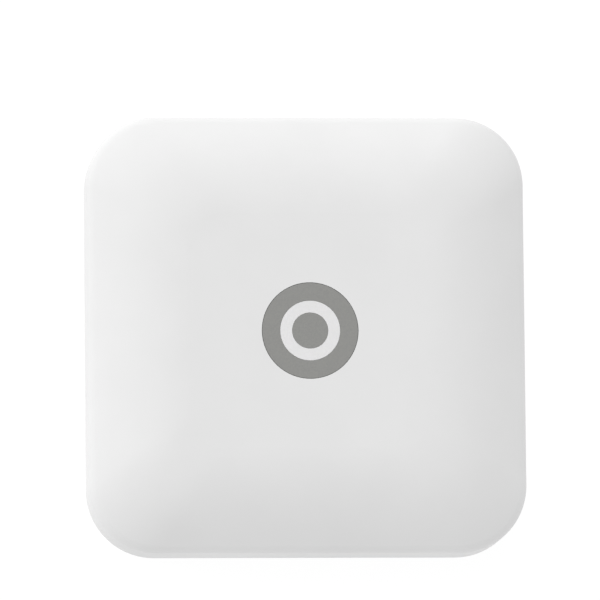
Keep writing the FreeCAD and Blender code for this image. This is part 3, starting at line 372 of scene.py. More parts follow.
@dataclass(frozen=True)
class MilkyPlastic:
    """A clear plastic filled with fine white powder: light goes in and comes out again, so it looks soft."""

    name: str
    colour: str
    second: str
    roughness: float = 0.32
    cloud_mm: float = 6.0
    grain_mm: float = 0.3
    grain_depth_mm: float = 0.004
    reach_mm: tuple[float, float, float] = (2.0, 2.0, 1.9)  # how far red, green and blue light spread in it

    def build(self) -> Material:
        """Makes the material.

        Returns:
            The material.
        """
        graph = Graph(self.name)
        clouds = graph.add("ShaderNodeTexNoise", "Fac", {}, {
            "Vector": graph.place, "Scale": per_metre(self.cloud_mm), "Detail": 3.0,
        })
        grain = graph.add("ShaderNodeTexNoise", "Fac", {}, {
            "Vector": graph.place, "Scale": per_metre(self.grain_mm),
        })
        share = graph.add("ShaderNodeMapRange", "Result", {}, {"Value": clouds, **MIDDLE})
        graph.set({
            "Base Color": graph.add("ShaderNodeMix", BLENDED, COLOURS, {
                FACTOR: share, FIRST: linear(self.colour), SECOND: linear(self.second),
            }),
            "Roughness": graph.add("ShaderNodeMapRange", "Result", {}, {
                "Value": share, "To Min": self.roughness - 0.03, "To Max": self.roughness + 0.03,
            }),
            "IOR": 1.58,
            "Subsurface Weight": 0.5,
            "Subsurface Radius": tuple(reach * MM for reach in self.reach_mm),
            "Normal": graph.add("ShaderNodeBump", "Normal", {}, {
                "Height": grain, "Distance": self.grain_depth_mm * MM,
            }),
        })
        return graph.material


@dataclass(frozen=True)
class PrintedFilm:
    """A thin film or print with a satin face: dots of ink, faintly rippled by the glue under it."""

    name: str
    colour: str
    second: str
    roughness: float = 0.38
    metallic: float = 0.0
    dot_mm: float = 0.4
    dot_depth_mm: float = 0.004
    ripple_mm: float = 9.0
    ripple_depth_mm: float = 0.05

    def build(self) -> Material:
        """Makes the material.

        Returns:
            The material.
        """
        graph = Graph(self.name)
        dots = graph.add("ShaderNodeTexNoise", "Fac", {}, {
            "Vector": graph.place, "Scale": per_metre(self.dot_mm),
        })
        inked = graph.add("ShaderNodeMapRange", "Result", {}, {
            "Value": dots, "From Min": 0.35, "From Max": 0.65,
        })
        ripples = graph.add("ShaderNodeTexNoise", "Fac", {}, {
            "Vector": graph.place, "Scale": per_metre(self.ripple_mm),
        })
        dotted = graph.add("ShaderNodeBump", "Normal", {}, {
            "Height": dots, "Distance": self.dot_depth_mm * MM,
        })
        graph.set({
            "Base Color": graph.add("ShaderNodeMix", BLENDED, COLOURS, {
                FACTOR: inked, FIRST: linear(self.colour), SECOND: linear(self.second),
            }),
            "Metallic": self.metallic,
            "Roughness": graph.add("ShaderNodeMapRange", "Result", {}, {
                "Value": dots, **MIDDLE, "To Min": self.roughness - 0.04, "To Max": self.roughness + 0.05,
            }),
            "Normal": graph.add("ShaderNodeBump", "Normal", {}, {
                "Height": ripples, "Distance": self.ripple_depth_mm * MM, "Normal": dotted,
            }),
        })
        return graph.material


class Finish(Enum):
    """Every finish of the hub, named for what it is."""

    # Matt white shell: a faint broad sheen with no sharp highlight.
    CASE_ABS = MouldedPlastic("moulded_white_abs", "DCDCDC", "DADADA", 0.55, shine=0.12)
    # The underside's coarser grain looks flatter and a little darker.
    BASE_ABS = MouldedPlastic("moulded_white_abs_base", "D8D8D8", "D4D4D4", 0.62, 0.45, 0.02, shine=0.12)
    # Flat mid grey ink, a little warm, with a dull even face.
    BADGE_INK = PrintedFilm("grey_screen_print", "898986", "848482")
    # As light as the shell round it, but softer and smoother, with blurred edges.
    LENS = MilkyPlastic("milky_polycarbonate", "DFDEDF", "DCDCDC")
    # A pale metallic film that picks up a soft shine.
    LABEL = PrintedFilm("silver_polyester_film", "C9CBCD", "C2C4C6", 0.34, 0.35)
    # Dark lines printed on the label.
    LABEL_INK = PrintedFilm("dark_label_ink", "3C3E41", "34363A", 0.5)
    # Matt grey pads, dusty where they touch the table.
    FOOT = Rubber("grey_silicone_rubber", "8E9090", "9C9E9E")
    # A chalky blue-grey pad, soft looking.
    PAD = Rubber("filled_silicone_pad", "8593A6", "93A0B0", 0.7)
    # A thin dark lead jacket with a slight shine.
    JACKET = Rubber("fluoropolymer_jacket", "3A3A3D", "47474A", 0.4)
    # Bluish grey screws, evenly dull.
    ZINC = Metal("zinc_plated_steel", "C6C8CB", "A9ADB2", 0.32)
    # Warm pale sheet metal, rubbed one way.
    TIN = Metal("tin_plated_steel", "CFCFCB", "C5C6C2", 0.28)
    # Brighter and yellower sheet metal.
    NICKEL = Metal("nickel_plated_steel", "CDCCC8", "C1BFBA", 0.2)
    # Gold flash over bronze, bright with darker rubbed spots.
    GOLD = Metal("gold_plated_bronze", "E3BE62", "CFA64C", 0.22)
    # Copper under clear film, pinkish with brown patches.
    COPPER = Metal("etched_copper", "D08A5E", "B5714A", 0.35)
    # Dull silvery extrusion with long die lines.
    ALUMINIUM = Metal("extruded_aluminium", "D5D7D9", "C4C7CA", 0.36, (1.0, 14.0, 1.0))
    # Deep green, with the copper tracks and vias showing lighter.
    BOARD = CircuitBoard("green_solder_mask", "0B4A2B", "1C6B41")
    # Dark blue on the radios' own boards, with a finer pattern.
    MODULE_BOARD = CircuitBoard("blue_solder_mask", "0A2348", "163C72", 3.0, 0.7, 1.6)
    # White lines printed on the board.
    BOARD_INK = PrintedFilm("white_board_ink", "E4E5E0", "D9DAD4", 0.6)
    # Brilliant matt white, to throw the light upwards.
    REFLECTOR = MouldedPlastic("bright_white_polycarbonate", "F0F0EE", "EBEBE9", 0.6)
    # Grey-black chip packages with a sandblasted look.
    EPOXY = MouldedPlastic("moulded_black_epoxy", "1B1B1D", "222224", 0.62, 0.12, 0.015)
    # Pressed grey powder, coarser and chalkier.
    FERRITE = MouldedPlastic("pressed_ferrite", "3A3A3D", "46464A", 0.7, 0.2, 0.03)
    # Tan sintered chips with a faint shine.
    CERAMIC = MouldedPlastic("fired_ceramic", "8F6E4B", "A07E58", 0.4, 0.15, 0.01, 3.0)
    # Black sockets with a low satin sheen.
    NYLON = MouldedPlastic("moulded_black_nylon", "1A1A1C", "202022", 0.5, 0.3)
    # Mid grey button, the same grain as the shell.
    BUTTON_ABS = MouldedPlastic("moulded_grey_abs", "A6A8AA", "A2A4A6", 0.45)
    # Creamy unpainted plungers.
    PLUNGER = MouldedPlastic("moulded_natural_nylon", "E4E2DA", "DEDCD3", 0.5)
    # Black film over the antennas' copper.
    FILM = PrintedFilm("black_polyimide_film", "1D1B19", "26231F", 0.42)
    # Pale yellow resin over the light's phosphor.
    PHOSPHOR = MilkyPlastic("phosphor_resin", "EBD36A", "E2C75C", 0.3, 1.0)
    # The light's white package.
    LED_BODY = MilkyPlastic("white_led_package", "F1EEE2", "E8E4D6", 0.4, 1.5)
    # The network socket's two unlit lamps.
    GREEN_LAMP = MilkyPlastic("green_lamp_resin", "5FA866", "579E5F", 0.25, 1.0)
    AMBER_LAMP = MilkyPlastic("amber_lamp_resin", "D39A3C", "C98F33", 0.25, 1.0)

    def material(self) -> Material:
        """The finish's material, made once."""
        return bpy.data.materials.get(self.value.name) or self.value.build()


class Body(Enum):
    """What a piece moves with."""

    HUB = "hub"
    PAIR_BUTTON = "pair_button"
    RESET_PLUNGER = "reset_plunger"


class Plane(Enum):
    """Which way a flat piece lies: how its across, up and thickness turn to the hub's axes."""

    LEVEL = Matrix(((1.0, 0.0, 0.0), (0.0, 1.0, 0.0), (0.0, 0.0, 1.0))).to_4x4()
    FACING_REAR = Matrix(((1.0, 0.0, 0.0), (0.0, 0.0, 1.0), (0.0, 1.0, 0.0))).to_4x4()
    FACING_SIDE = Matrix(((0.0, 0.0, 1.0), (1.0, 0.0, 0.0), (0.0, 1.0, 0.0))).to_4x4()


# ---------------------------------------------------------------- shapes


def span(node: str) -> tuple[Vector, Vector]:
    """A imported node's lowest and highest corners, in millimetres."""
    low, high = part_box(node)
    return low / MM, high / MM


def solids(node: str) -> list[tuple[Vector, Vector]]:
    """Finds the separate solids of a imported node.

    Args:
        node: the node's name.

    Returns:
        The lowest and highest corners of each, in millimetres.
    """
    mesh = bmesh.new()
    mesh.from_mesh(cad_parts[node].data)
    bmesh.ops.scale(mesh, vec=(1 / MM,) * 3, verts=mesh.verts)
    bmesh.ops.remove_doubles(mesh, verts=mesh.verts, dist=1e-3)
    left, boxes = set(mesh.verts), []
    while left:
        reached, edge = set(), {left.pop()}
        while edge:
            reached |= edge
            edge = {e.other_vert(v) for v in edge for e in v.link_edges} - reached
        left -= reached
        places = [v.co.copy() for v in reached]
        low = Vector([min(place[k] for place in places) for k in range(3)])
        high = Vector([max(place[k] for place in places) for k in range(3)])
        boxes.append((low, high))
    mesh.free()
    return sorted(boxes, key=lambda box: tuple(round(value, 2) for value in box[0]))


def corners(made: Iterable[object]) -> list[Corner]:
    """The corners among what an operator made."""
    return [part for part in made if isinstance(part, Corner)]


class Shape:
    """A small piece under work, in millimetres."""

    def __init__(self) -> None:
        """Starts with nothing."""
        self.mesh = bmesh.new()

    def soften(self, reach: float, segments: int = 3, verts: Iterable[Corner] | None = None) -> None:
        """Rounds every sharp edge.

        Args:
            reach: how far from the edge the rounding starts.
            segments: how many faces each rounding has.
            verts: the corners that count, or all of them.
        """
        among = set(verts if verts is not None else self.mesh.verts)
        edges = [e for e in self.mesh.edges if len(e.link_faces) == 2 and e.calc_face_angle() > CREASE / 2]
        bmesh.ops.bevel(
            self.mesh,
            geom=[e for e in edges if among.issuperset(e.verts)],
            offset=reach,
            offset_type="OFFSET",
            affect="EDGES",
            segments=segments,
            profile=0.5,
            material=-1,
            clamp_overlap=True,
        )

    def block(self, low: Vector, high: Vector, edge: float = 0.0) -> None:
        """Adds a box.

        Args:
            low: its lowest corner.
            high: its highest corner.
            edge: how far its edges are rounded.
        """
        place = Matrix.Translation((low + high) / 2) @ Matrix.Diagonal((high - low)).to_4x4()
        verts = bmesh.ops.create_cube(self.mesh, size=1.0, matrix=place)["verts"]
        if edge:
            self.soften(edge, verts=verts)

    def turned(
        self, centre: Vector, axis: Vector, profile: Profile, ring: bool = False, steps: int = ROUND_STEPS
    ) -> None:
        """Spins a half profile about an axis.

        Args:
            centre: where the axis starts.
            axis: its direction, one long.
            profile: radius and reach along the axis of each corner.
            ring: whether the profile closes on itself, and so leaves a hole along the axis.
            steps: how many faces go round.
        """
        side = axis.orthogonal().normalized()
        verts = [self.mesh.verts.new(centre + side * radius + axis * reach) for radius, reach in profile]
        pairs = list(zip(verts, verts[1:]))
        if ring:
            pairs.append((verts[-1], verts[0]))
        edges = [self.mesh.edges.new(pair) for pair in pairs]
        around = {"cent": centre, "axis": axis, "angle": math.tau, "steps": steps, "use_merge": True}
        bmesh.ops.spin(self.mesh, geom=verts + edges, use_duplicate=False, **around)
        bmesh.ops.remove_doubles(self.mesh, verts=self.mesh.verts, dist=1e-4)

    def plate(
        self, outline: Rectangle, holes: list[Rectangle], depths: tuple[float, float], plane: Plane
    ) -> None:
        """Adds a flat plate with rectangular holes.

        Args:
            outline: its edges.
            holes: each hole's edges. Holes may join.
            depths: where its thickness starts and ends.
            plane: which way it lies.
        """
        part = bmesh.new()
        left, right, bottom, top = outline
        middle = Vector(((left + right) / 2, (bottom + top) / 2, depths[0]))
        size = Matrix.Diagonal(((right - left) / 2, (top - bottom) / 2, 1.0)).to_4x4()
        there = Matrix.Translation(middle) @ size
        bmesh.ops.create_grid(part, x_segments=1, y_segments=1, size=1.0, matrix=there)
        for hole in holes:
            for place, way in ((hole[0], X), (hole[1], X), (hole[2], Y), (hole[3], Y)):
                everything = part.verts[:] + part.edges[:] + part.faces[:]
                bmesh.ops.bisect_plane(part, geom=everything, plane_co=way * place, plane_no=way)
        cut = []
        for face in part.faces:
            spot = face.calc_center_median()
            if any(h[0] < spot.x < h[1] and h[2] < spot.y < h[3] for h in holes):
                cut.append(face)
        bmesh.ops.delete(part, geom=cut, context="FACES")
        bmesh.ops.dissolve_limit(part, angle_limit=0.01, verts=part.verts, edges=part.edges)
        raised = bmesh.ops.extrude_face_region(part, geom=part.faces[:])["geom"]
        bmesh.ops.translate(part, vec=Z * (depths[1] - depths[0]), verts=corners(raised))
        bmesh.ops.transform(part, matrix=plane.value, verts=part.verts)
        self.join(part)

    def strip(self, path: list[Vector], side: Vector, thickness: float, bend: float) -> None:
        """Adds a strip of sheet metal, bent along a path.

        Args:
            path: the corners of one of its long edges.
            side: from that edge to the other.
            thickness: of the sheet.
            bend: how far from each corner the bend starts.
        """
        part = bmesh.new()
        verts = [part.verts.new(place) for place in path]
        edges = [part.edges.new(pair) for pair in zip(verts, verts[1:])]
        swept = bmesh.ops.extrude_edge_only(part, edges=edges)["geom"]
        bmesh.ops.translate(part, vec=side, verts=corners(swept))
        folds = [e for e in part.edges if len(e.link_faces) == 2]
        bmesh.ops.bevel(
            part,
            geom=folds,
            offset=bend,
            affect="EDGES",
            segments=4,
            profile=0.5,
            material=-1,
            clamp_overlap=True,
        )
        bmesh.ops.recalc_face_normals(part, faces=part.faces)
        bmesh.ops.solidify(part, geom=part.faces[:], thickness=thickness)
        self.join(part)

    def join(self, part: bmesh.types.BMesh) -> None:
        """Takes in another bmesh, and frees it.

        Args:
            part: the bmesh, which is gone afterwards.
        """
        mesh = bpy.data.meshes.new("joined")
        part.to_mesh(mesh)
        part.free()
        self.mesh.from_mesh(mesh)
        bpy.data.meshes.remove(mesh)

    def copies(self, offsets: Iterable[Vector]) -> None:
        """Adds a copy of all that is here at each offset.

        Args:
            offsets: how far each copy is moved.
        """
        first = self.mesh.verts[:] + self.mesh.edges[:] + self.mesh.faces[:]
        for offset in offsets:
            made = bmesh.ops.duplicate(self.mesh, geom=first)["geom"]
            bmesh.ops.translate(self.mesh, vec=offset, verts=corners(made))

    def mirrored(self, centre: Vector, across: Vector) -> None:
        """Adds a copy of all that is here on the other side of a plane.

        Args:
            centre: a point of the plane.
            across: the plane's normal, one of the main axes.
        """
        first = self.mesh.verts[:] + self.mesh.edges[:] + self.mesh.faces[:]
        made = bmesh.ops.duplicate(self.mesh, geom=first)["geom"]
        flip = Matrix.Scale(-1.0, 4, across)
        there = Matrix.Translation(centre) @ flip @ Matrix.Translation(-centre)
        bmesh.ops.transform(self.mesh, matrix=there, verts=corners(made))

    def piece(
        self, name: str, finish: Finish, slot: str, body: Body = Body.HUB, replaces: tuple[str, ...] = ()
    ) -> Piece:
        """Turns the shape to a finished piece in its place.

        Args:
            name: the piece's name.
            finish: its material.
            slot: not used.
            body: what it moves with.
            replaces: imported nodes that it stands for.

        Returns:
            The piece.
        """
        bmesh.ops.recalc_face_normals(self.mesh, faces=self.mesh.faces)
        bmesh.ops.scale(self.mesh, vec=(MM,) * 3, verts=self.mesh.verts)
        for face in self.mesh.faces:
            face.smooth = True
        mesh = bpy.data.meshes.new(name)
        self.mesh.to_mesh(mesh)
        self.mesh.free()
        mesh.set_sharp_from_angle(angle=CREASE)
        mesh.materials.append(finish.material())
        piece = bpy.data.objects.new(name, mesh)
        bpy.context.scene.collection.objects.link(piece)
        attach(piece, body.value)
        if replaces:
            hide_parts(*replaces)
        log.info("%s: %s, %d faces", name, finish.value.name, len(mesh.polygons))
        return piece


def dress(finishes: dict[str, Finish]) -> None:
    """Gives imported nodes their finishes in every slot.

    Args:
        finishes: each node's name and finish.
    """
    for node, finish in finishes.items():
        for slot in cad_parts[node].material_slots:
            slot.material = finish.material()
        log.info("%s: %s", node, finish.value.name)


# ---------------------------------------------------------------- the hub


@dataclass
class Case:
    """The two shells, the feet and the label. Sizes are in millimetres."""

    finishes: dict[str, Finish] = field(default_factory=lambda: {
        "top_cover": Finish.CASE_ABS,
        "base_cover": Finish.BASE_ABS,
        "rating_label": Finish.LABEL,
        "case_screws": Finish.ZINC,
    })
    feet: tuple[str, ...] = ("foot_front_left", "foot_front_right", "foot_rear_left", "foot_rear_right")
    foot_edge: float = 0.5
    dish_radius: float = 3.4
    dish_depth: float = 0.4
    dish_slope: float = 0.8
    print_depth: float = 0.02
    line_width: float = 0.35
    border_inset: float = 1.6
    split_across: float = 0.64  # where the cells part, as shares of the frame
    split_up: float = 0.4

    def build(self) -> None:
        """Dresses the shells, then makes the feet and the label's lines."""
        dress(self.finishes)
        for name in self.feet:
            self.foot(name)
        self.label_lines()

    def foot(self, name: str) -> None:
        """Turns one foot, with a rounded edge and a dish in its underside.

        Args:
            name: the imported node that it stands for.
        """
        low, high = span(name)
        radius, top = (high.x - low.x) / 2, high.z
        centre = Vector(((low.x + high.x) / 2, (low.y + high.y) / 2, 0.0))
        step = self.dish_radius - self.dish_slope
        shape = Shape()
        shape.turned(centre, Z, [
            (0.0, self.dish_depth),
            (step, self.dish_depth),
            (self.dish_radius, 0.0),
            (radius, 0.0),
            (radius, top),
            (0.0, top),
        ])
        shape.soften(self.foot_edge)
        shape.piece(f"{name}_moulded", Finish.FOOT, "foot_rubber", replaces=(name,))

    def label_lines(self) -> None:
        """Prints an empty frame and three empty cells under the label."""
        low, high = span("rating_label")
        left, right = low.x + self.border_inset, high.x - self.border_inset
        front, rear = low.y + self.border_inset, high.y - self.border_inset
        line = self.line_width
        split_x = left + (right - left) * self.split_across
        split_y = front + (rear - front) * self.split_up
        cells = [
            (left + line, split_x, front + line, split_y),
            (left + line, split_x, split_y + line, rear - line),
            (split_x + line, right - line, front + line, rear - line),
        ]
        depths = (low.z - self.print_depth, low.z)
        shape = Shape()
        shape.plate((left, right, front, rear), cells, depths, Plane.LEVEL)
        shape.piece("label_lines", Finish.LABEL_INK, "label_film")


@dataclass
class Badge:
    """The round badge in the top, and the light under it."""

    finishes: dict[str, Finish] = field(default_factory=lambda: {
        "status_lens": Finish.LENS,
        "badge_ring": Finish.BADGE_INK,
        "badge_centre": Finish.BADGE_INK,
        "light_funnel": Finish.REFLECTOR,
        "status_led": Finish.LED_BODY,
    })
    dome_radius: float = 1.7
    dome_height: float = 0.35
    dome_rings: int = 6

    def build(self) -> None:
        """Dresses the badge, and sets the resin dome on its light."""
        dress(self.finishes)
        low, high = span("status_led")
        centre = Vector(((low.x + high.x) / 2, (low.y + high.y) / 2, high.z))
        dome = [(0.0, 0.0), (self.dome_radius, 0.0)]
        for ring in range(1, self.dome_rings + 1):
            turn = math.pi / 2 * ring / self.dome_rings
            dome.append((self.dome_radius * math.cos(turn), self.dome_height * math.sin(turn)))
        shape = Shape()
        shape.turned(centre, Z, dome)
        shape.piece("status_led_dome", Finish.PHOSPHOR, "led_package")


@dataclass
class Electronics:
    """The board and everything on it. Sizes are in millimetres."""

    finishes: dict[str, Finish] = field(default_factory=lambda: {
        "main_board": Finish.BOARD,
        "board_screws": Finish.ZINC,
        "main_processor": Finish.EPOXY,
        "memory_chip": Finish.EPOXY,
        "flash_chip": Finish.EPOXY,
        "network_transformer": Finish.EPOXY,
        "power_inductor": Finish.FERRITE,
        "clock_crystal": Finish.NICKEL,
        "power_capacitors": Finish.ALUMINIUM,
        "board_passives": Finish.CERAMIC,
        "thermal_pad": Finish.PAD,
        "heat_sink": Finish.ALUMINIUM,
    })
    outlined: tuple[str, ...] = (
        "main_processor", "memory_chip", "flash_chip", "network_transformer",
        "power_inductor", "clock_crystal", "wifi_radio_board", "zigbee_radio_board",
    )
    ink_gap: float = 0.5
    ink_width: float = 0.2
    ink_depth: float = 0.02
    small_edge: float = 0.06
    pad_width: float = 0.8  # past the screw's head
    pad_under: float = 0.4  # beneath it
    pad_depth: float = 0.04
    leaded: tuple[tuple[str, int, float], ...] = (
        ("flash_chip", 8, 0.45),
        ("network_transformer", 6, 0.3),
    )  # leads on each side, and how far up the chip they come out, as a share of its height
    lead_pitch: float = 1.27
    lead_width: float = 0.42
    lead_sheet: float = 0.15
    lead_root: float = 0.1  # inside the chip
    lead_reach: float = 0.5
    lead_drop: float = 0.2
    lead_foot: float = 0.7
    lead_bend: float = 0.12
    least_rise: float = 2.5  # in sheets
    end_length: float = 0.4
    end_proud: float = 0.03
    mark_radius: float = 2.7
    mark_start: float = 0.35  # from the can's middle, as a share of the radius
    clip_half_width: float = 1.6
    clip_height: float = 1.9
    clip_sheet: float = 0.2
    clip_foot: float = 0.9
    clip_root: float = 0.05  # inside the inductor

    def build(self) -> None:
        """Dresses the board's parts, then adds their leads, ends, pads and printed outlines."""
        dress(self.finishes)
        self.board_print()
        self.screw_pads()
        for node, count, share in self.leaded:
            self.leads(node, count, share)
        self.chip_ends()
        self.capacitor_marks()
        self.inductor_clips()

    def board_print(self) -> None:
        """Prints an outline round each larger part."""
        top = span("main_board")[1].z
        shape = Shape()
        for node in self.outlined:
            low, high = span(node)
            near = self.ink_gap
            far = near + self.ink_width
            outline = (low.x - far, high.x + far, low.y - far, high.y + far)
            hole = (low.x - near, high.x + near, low.y - near, high.y + near)
            shape.plate(outline, [hole], (top, top + self.ink_depth), Plane.LEVEL)
        shape.piece("board_outlines", Finish.BOARD_INK, "board_green")

    def screw_pads(self) -> None:
        """Lays a gilt earthing pad round each of the board's screws."""
        top = span("main_board")[1].z
        shape = Shape()
        for low, high in solids("board_screws"):
            centre = Vector(((low.x + high.x) / 2, (low.y + high.y) / 2, top))
            head = (high.x - low.x) / 2
            inner, outer, depth = head - self.pad_under, head + self.pad_width, self.pad_depth
            shape.turned(centre, Z, [(inner, 0.0), (outer, 0.0), (outer, depth), (inner, depth)], ring=True)
        shape.piece("board_earth_pads", Finish.GOLD, "contact_gold")

    def leads(self, node: str, count: int, share: float) -> None:
        """Bends a row of leads down to the board along both sides of a chip.

        Args:
            node: the chip.
            count: how many leads each side has.
            share: how far up the chip they come out, as a share of its height.
        """
        low, high = span(node)
        middle = (low + high) / 2
        root, board = high.x - self.lead_root, low.z + self.lead_sheet
        bend, drop = root + self.lead_reach, root + self.lead_reach + self.lead_drop
        level = low.z + max((high.z - low.z) * share, self.lead_sheet * self.least_rise)
        first = middle.y - self.lead_pitch * (count - 1) / 2 - self.lead_width / 2
        path = [
            Vector((root, first, level)),
            Vector((bend, first, level)),
            Vector((drop, first, board)),
            Vector((drop + self.lead_foot, first, board)),
        ]
        shape = Shape()
        shape.strip(path, Y * self.lead_width, self.lead_sheet, self.lead_bend)
        shape.copies(Y * self.lead_pitch * k for k in range(1, count))
        shape.mirrored(middle, X)
        shape.piece(f"{node}_leads", Finish.TIN, "shield_tin")

    def chip_ends(self) -> None:
        """Caps both ends of each small chip with tin."""
        proud = self.end_proud
        shape = Shape()
        for low, high in solids("board_passives"):
            axis = X if high.x - low.x > high.y - low.y else Y
            length = (high - low).dot(axis)
            skin = Vector((proud, proud, 0.0))
            raised = Vector((0.0, 0.0, proud))
            inset = axis * (length - self.end_length + proud)
            shape.block(low - skin, high + skin + raised - inset, self.small_edge)
            shape.block(low - skin + inset, high + skin + raised, self.small_edge)
        shape.piece("board_passive_ends", Finish.TIN, "shield_tin")

    def capacitor_marks(self) -> None:
        """Prints the dark half that marks each can's negative side."""
        shape = Shape()
        for low, high in solids("power_capacitors"):
            centre = Vector(((low.x + high.x) / 2, (low.y + high.y) / 2, high.z))
            part = bmesh.new()
            place = Matrix.Translation(centre)
            radius = self.mark_radius
            bmesh.ops.create_circle(part, cap_ends=True, segments=ROUND_STEPS, radius=radius, matrix=place)
            everything = part.verts[:] + part.edges[:] + part.faces[:]
            edge = centre + X * radius * self.mark_start
            bmesh.ops.bisect_plane(part, geom=everything, plane_co=edge, plane_no=X, clear_inner=True)
            raised = bmesh.ops.extrude_face_region(part, geom=part.faces[:])["geom"]
            bmesh.ops.translate(part, vec=Z * self.ink_depth, verts=corners(raised))
            shape.join(part)
        shape.piece("capacitor_marks", Finish.LABEL_INK, "chip_black")

    def inductor_clips(self) -> None:
        """Folds a tin clip round each end of the inductor."""
        low, high = span("power_inductor")
        middle = (low + high) / 2
        near, far = middle.y - self.clip_half_width, middle.y + self.clip_half_width
        corner = Vector((high.x - self.clip_root, near, low.z))
        shape = Shape()
        upright = Vector((high.x + self.clip_sheet, far, low.z + self.clip_height))
        foot = Vector((high.x + self.clip_foot, far, low.z + self.clip_sheet))
        shape.block(corner, upright, self.small_edge)
        shape.block(corner, foot, self.small_edge)
        shape.mirrored(middle, X)
        shape.piece("power_inductor_clips", Finish.TIN, "shield_tin")


@dataclass
class Radio:
    """One radio on its own board, with its antenna and lead. Sizes are in millimetres."""

    name: str
    rim_height: float = 0.9
    rim_sheet: float = 0.12
    hole_radius: float = 0.45
    hole_pitch: float = 2.6
    hole_rows: int = 3
    hole_steps: int = 20
    # thickness of the black discs that paint the shade of the can's holes
    shade_disc_thickness: float = 0.02
    cap_radius: float = 1.1
    cap_height: float = 0.2
    cap_hole: float = 0.6
    cap_dip: float = 0.1
    cap_edge: float = 0.04
    track_width: float = 0.8
    track_depth: float = 0.03
    track_margin: float = 1.2
    turns: int = 9

    def build(self) -> None:
        """Dresses the radio, then adds its can's rim, painted shade for its holes, its plug's cap and its
        antenna's track.
        """
        dress({
            f"{self.name}_radio_board": Finish.MODULE_BOARD,
            f"{self.name}_radio_shield": Finish.TIN,
            f"{self.name}_antenna": Finish.FILM,
            f"{self.name}_lead": Finish.JACKET,
            f"{self.name}_lead_plug": Finish.GOLD,
        })
        self.can_rim()
        self.painted_hole_shade()
        self.plug_cap()
        self.antenna_track()

    def can_rim(self) -> None:
        """Wraps the fence that the can's lid snaps over round its foot."""
        low, high = span(f"{self.name}_radio_shield")
        sheet = self.rim_sheet
        outline = (low.x - sheet, high.x + sheet, low.y - sheet, high.y + sheet)
        shape = Shape()
        shape.plate(outline, [(low.x, high.x, low.y, high.y)], (low.z, low.z + self.rim_height), Plane.LEVEL)
        shape.soften(sheet / 3)
        shape.piece(f"{self.name}_radio_shield_rim", Finish.TIN, "shield_tin")

    def painted_hole_shade(self) -> None:
        """Dots the can's lid with dark discs where its heat holes are: painted shade for the dark inside, not
        real openings.
        """
        low, high = span(f"{self.name}_radio_shield")
        middle = (low + high) / 2
        corner = Vector((middle.x - self.hole_pitch, middle.y - self.hole_pitch, high.z))
        shape = Shape()
        radius, depth, rows = self.hole_radius, self.shade_disc_thickness, range(self.hole_rows)
        # a thin black disc laid on the lid: painted shade standing in for each hole
        disc = [(0.0, 0.0), (radius, 0.0), (radius, depth), (0.0, depth)]
        shape.turned(corner, Z, disc, steps=self.hole_steps)
        steps = [(column, row) for column in rows for row in rows if column or row]
        shape.copies(Vector((column, row, 0.0)) * self.hole_pitch for column, row in steps)
        shape.piece(f"{self.name}_radio_shield_hole_shade", Finish.NYLON, "shield_tin")

    def plug_cap(self) -> None:
        """Sets the round snap cap on the lead's plug."""
        low, high = span(f"{self.name}_lead_plug")
        centre = Vector(((low.x + high.x) / 2, (low.y + high.y) / 2, high.z))
        shape = Shape()
        shape.turned(centre, Z, [
            (0.0, self.cap_height),
            (self.cap_radius, self.cap_height),
            (self.cap_radius, 0.0),
            (self.cap_hole, 0.0),
            (self.cap_hole - self.cap_dip, self.cap_dip),
            (0.0, self.cap_dip),
        ])
        shape.soften(self.cap_edge)
        shape.piece(f"{self.name}_lead_plug_cap", Finish.GOLD, "contact_gold")

    def antenna_track(self) -> None:
        """Lays the antenna's folded copper track on the inner side of its film."""
        low, high = span(f"{self.name}_antenna")
        side = 1 if low.x > 0 else -1
        face = low.x if side > 0 else high.x
        margin = self.track_margin
        bottom, top = low.z + margin, high.z - margin
        step = (high.y - low.y - 2 * margin - self.track_width) / (self.turns - 1)
        near, far = sorted((face, face - side * self.track_depth))
        shape = Shape()
        for turn in range(self.turns):
            start = low.y + margin + turn * step
            shape.block(Vector((near, start, bottom)), Vector((far, start + self.track_width, top)))
            if turn < self.turns - 1:
                level = top - self.track_width if turn % 2 else bottom
                end = start + step + self.track_width
                shape.block(Vector((near, start, level)), Vector((far, end, level + self.track_width)))
        shape.piece(f"{self.name}_antenna_track", Finish.COPPER, "antenna_film")


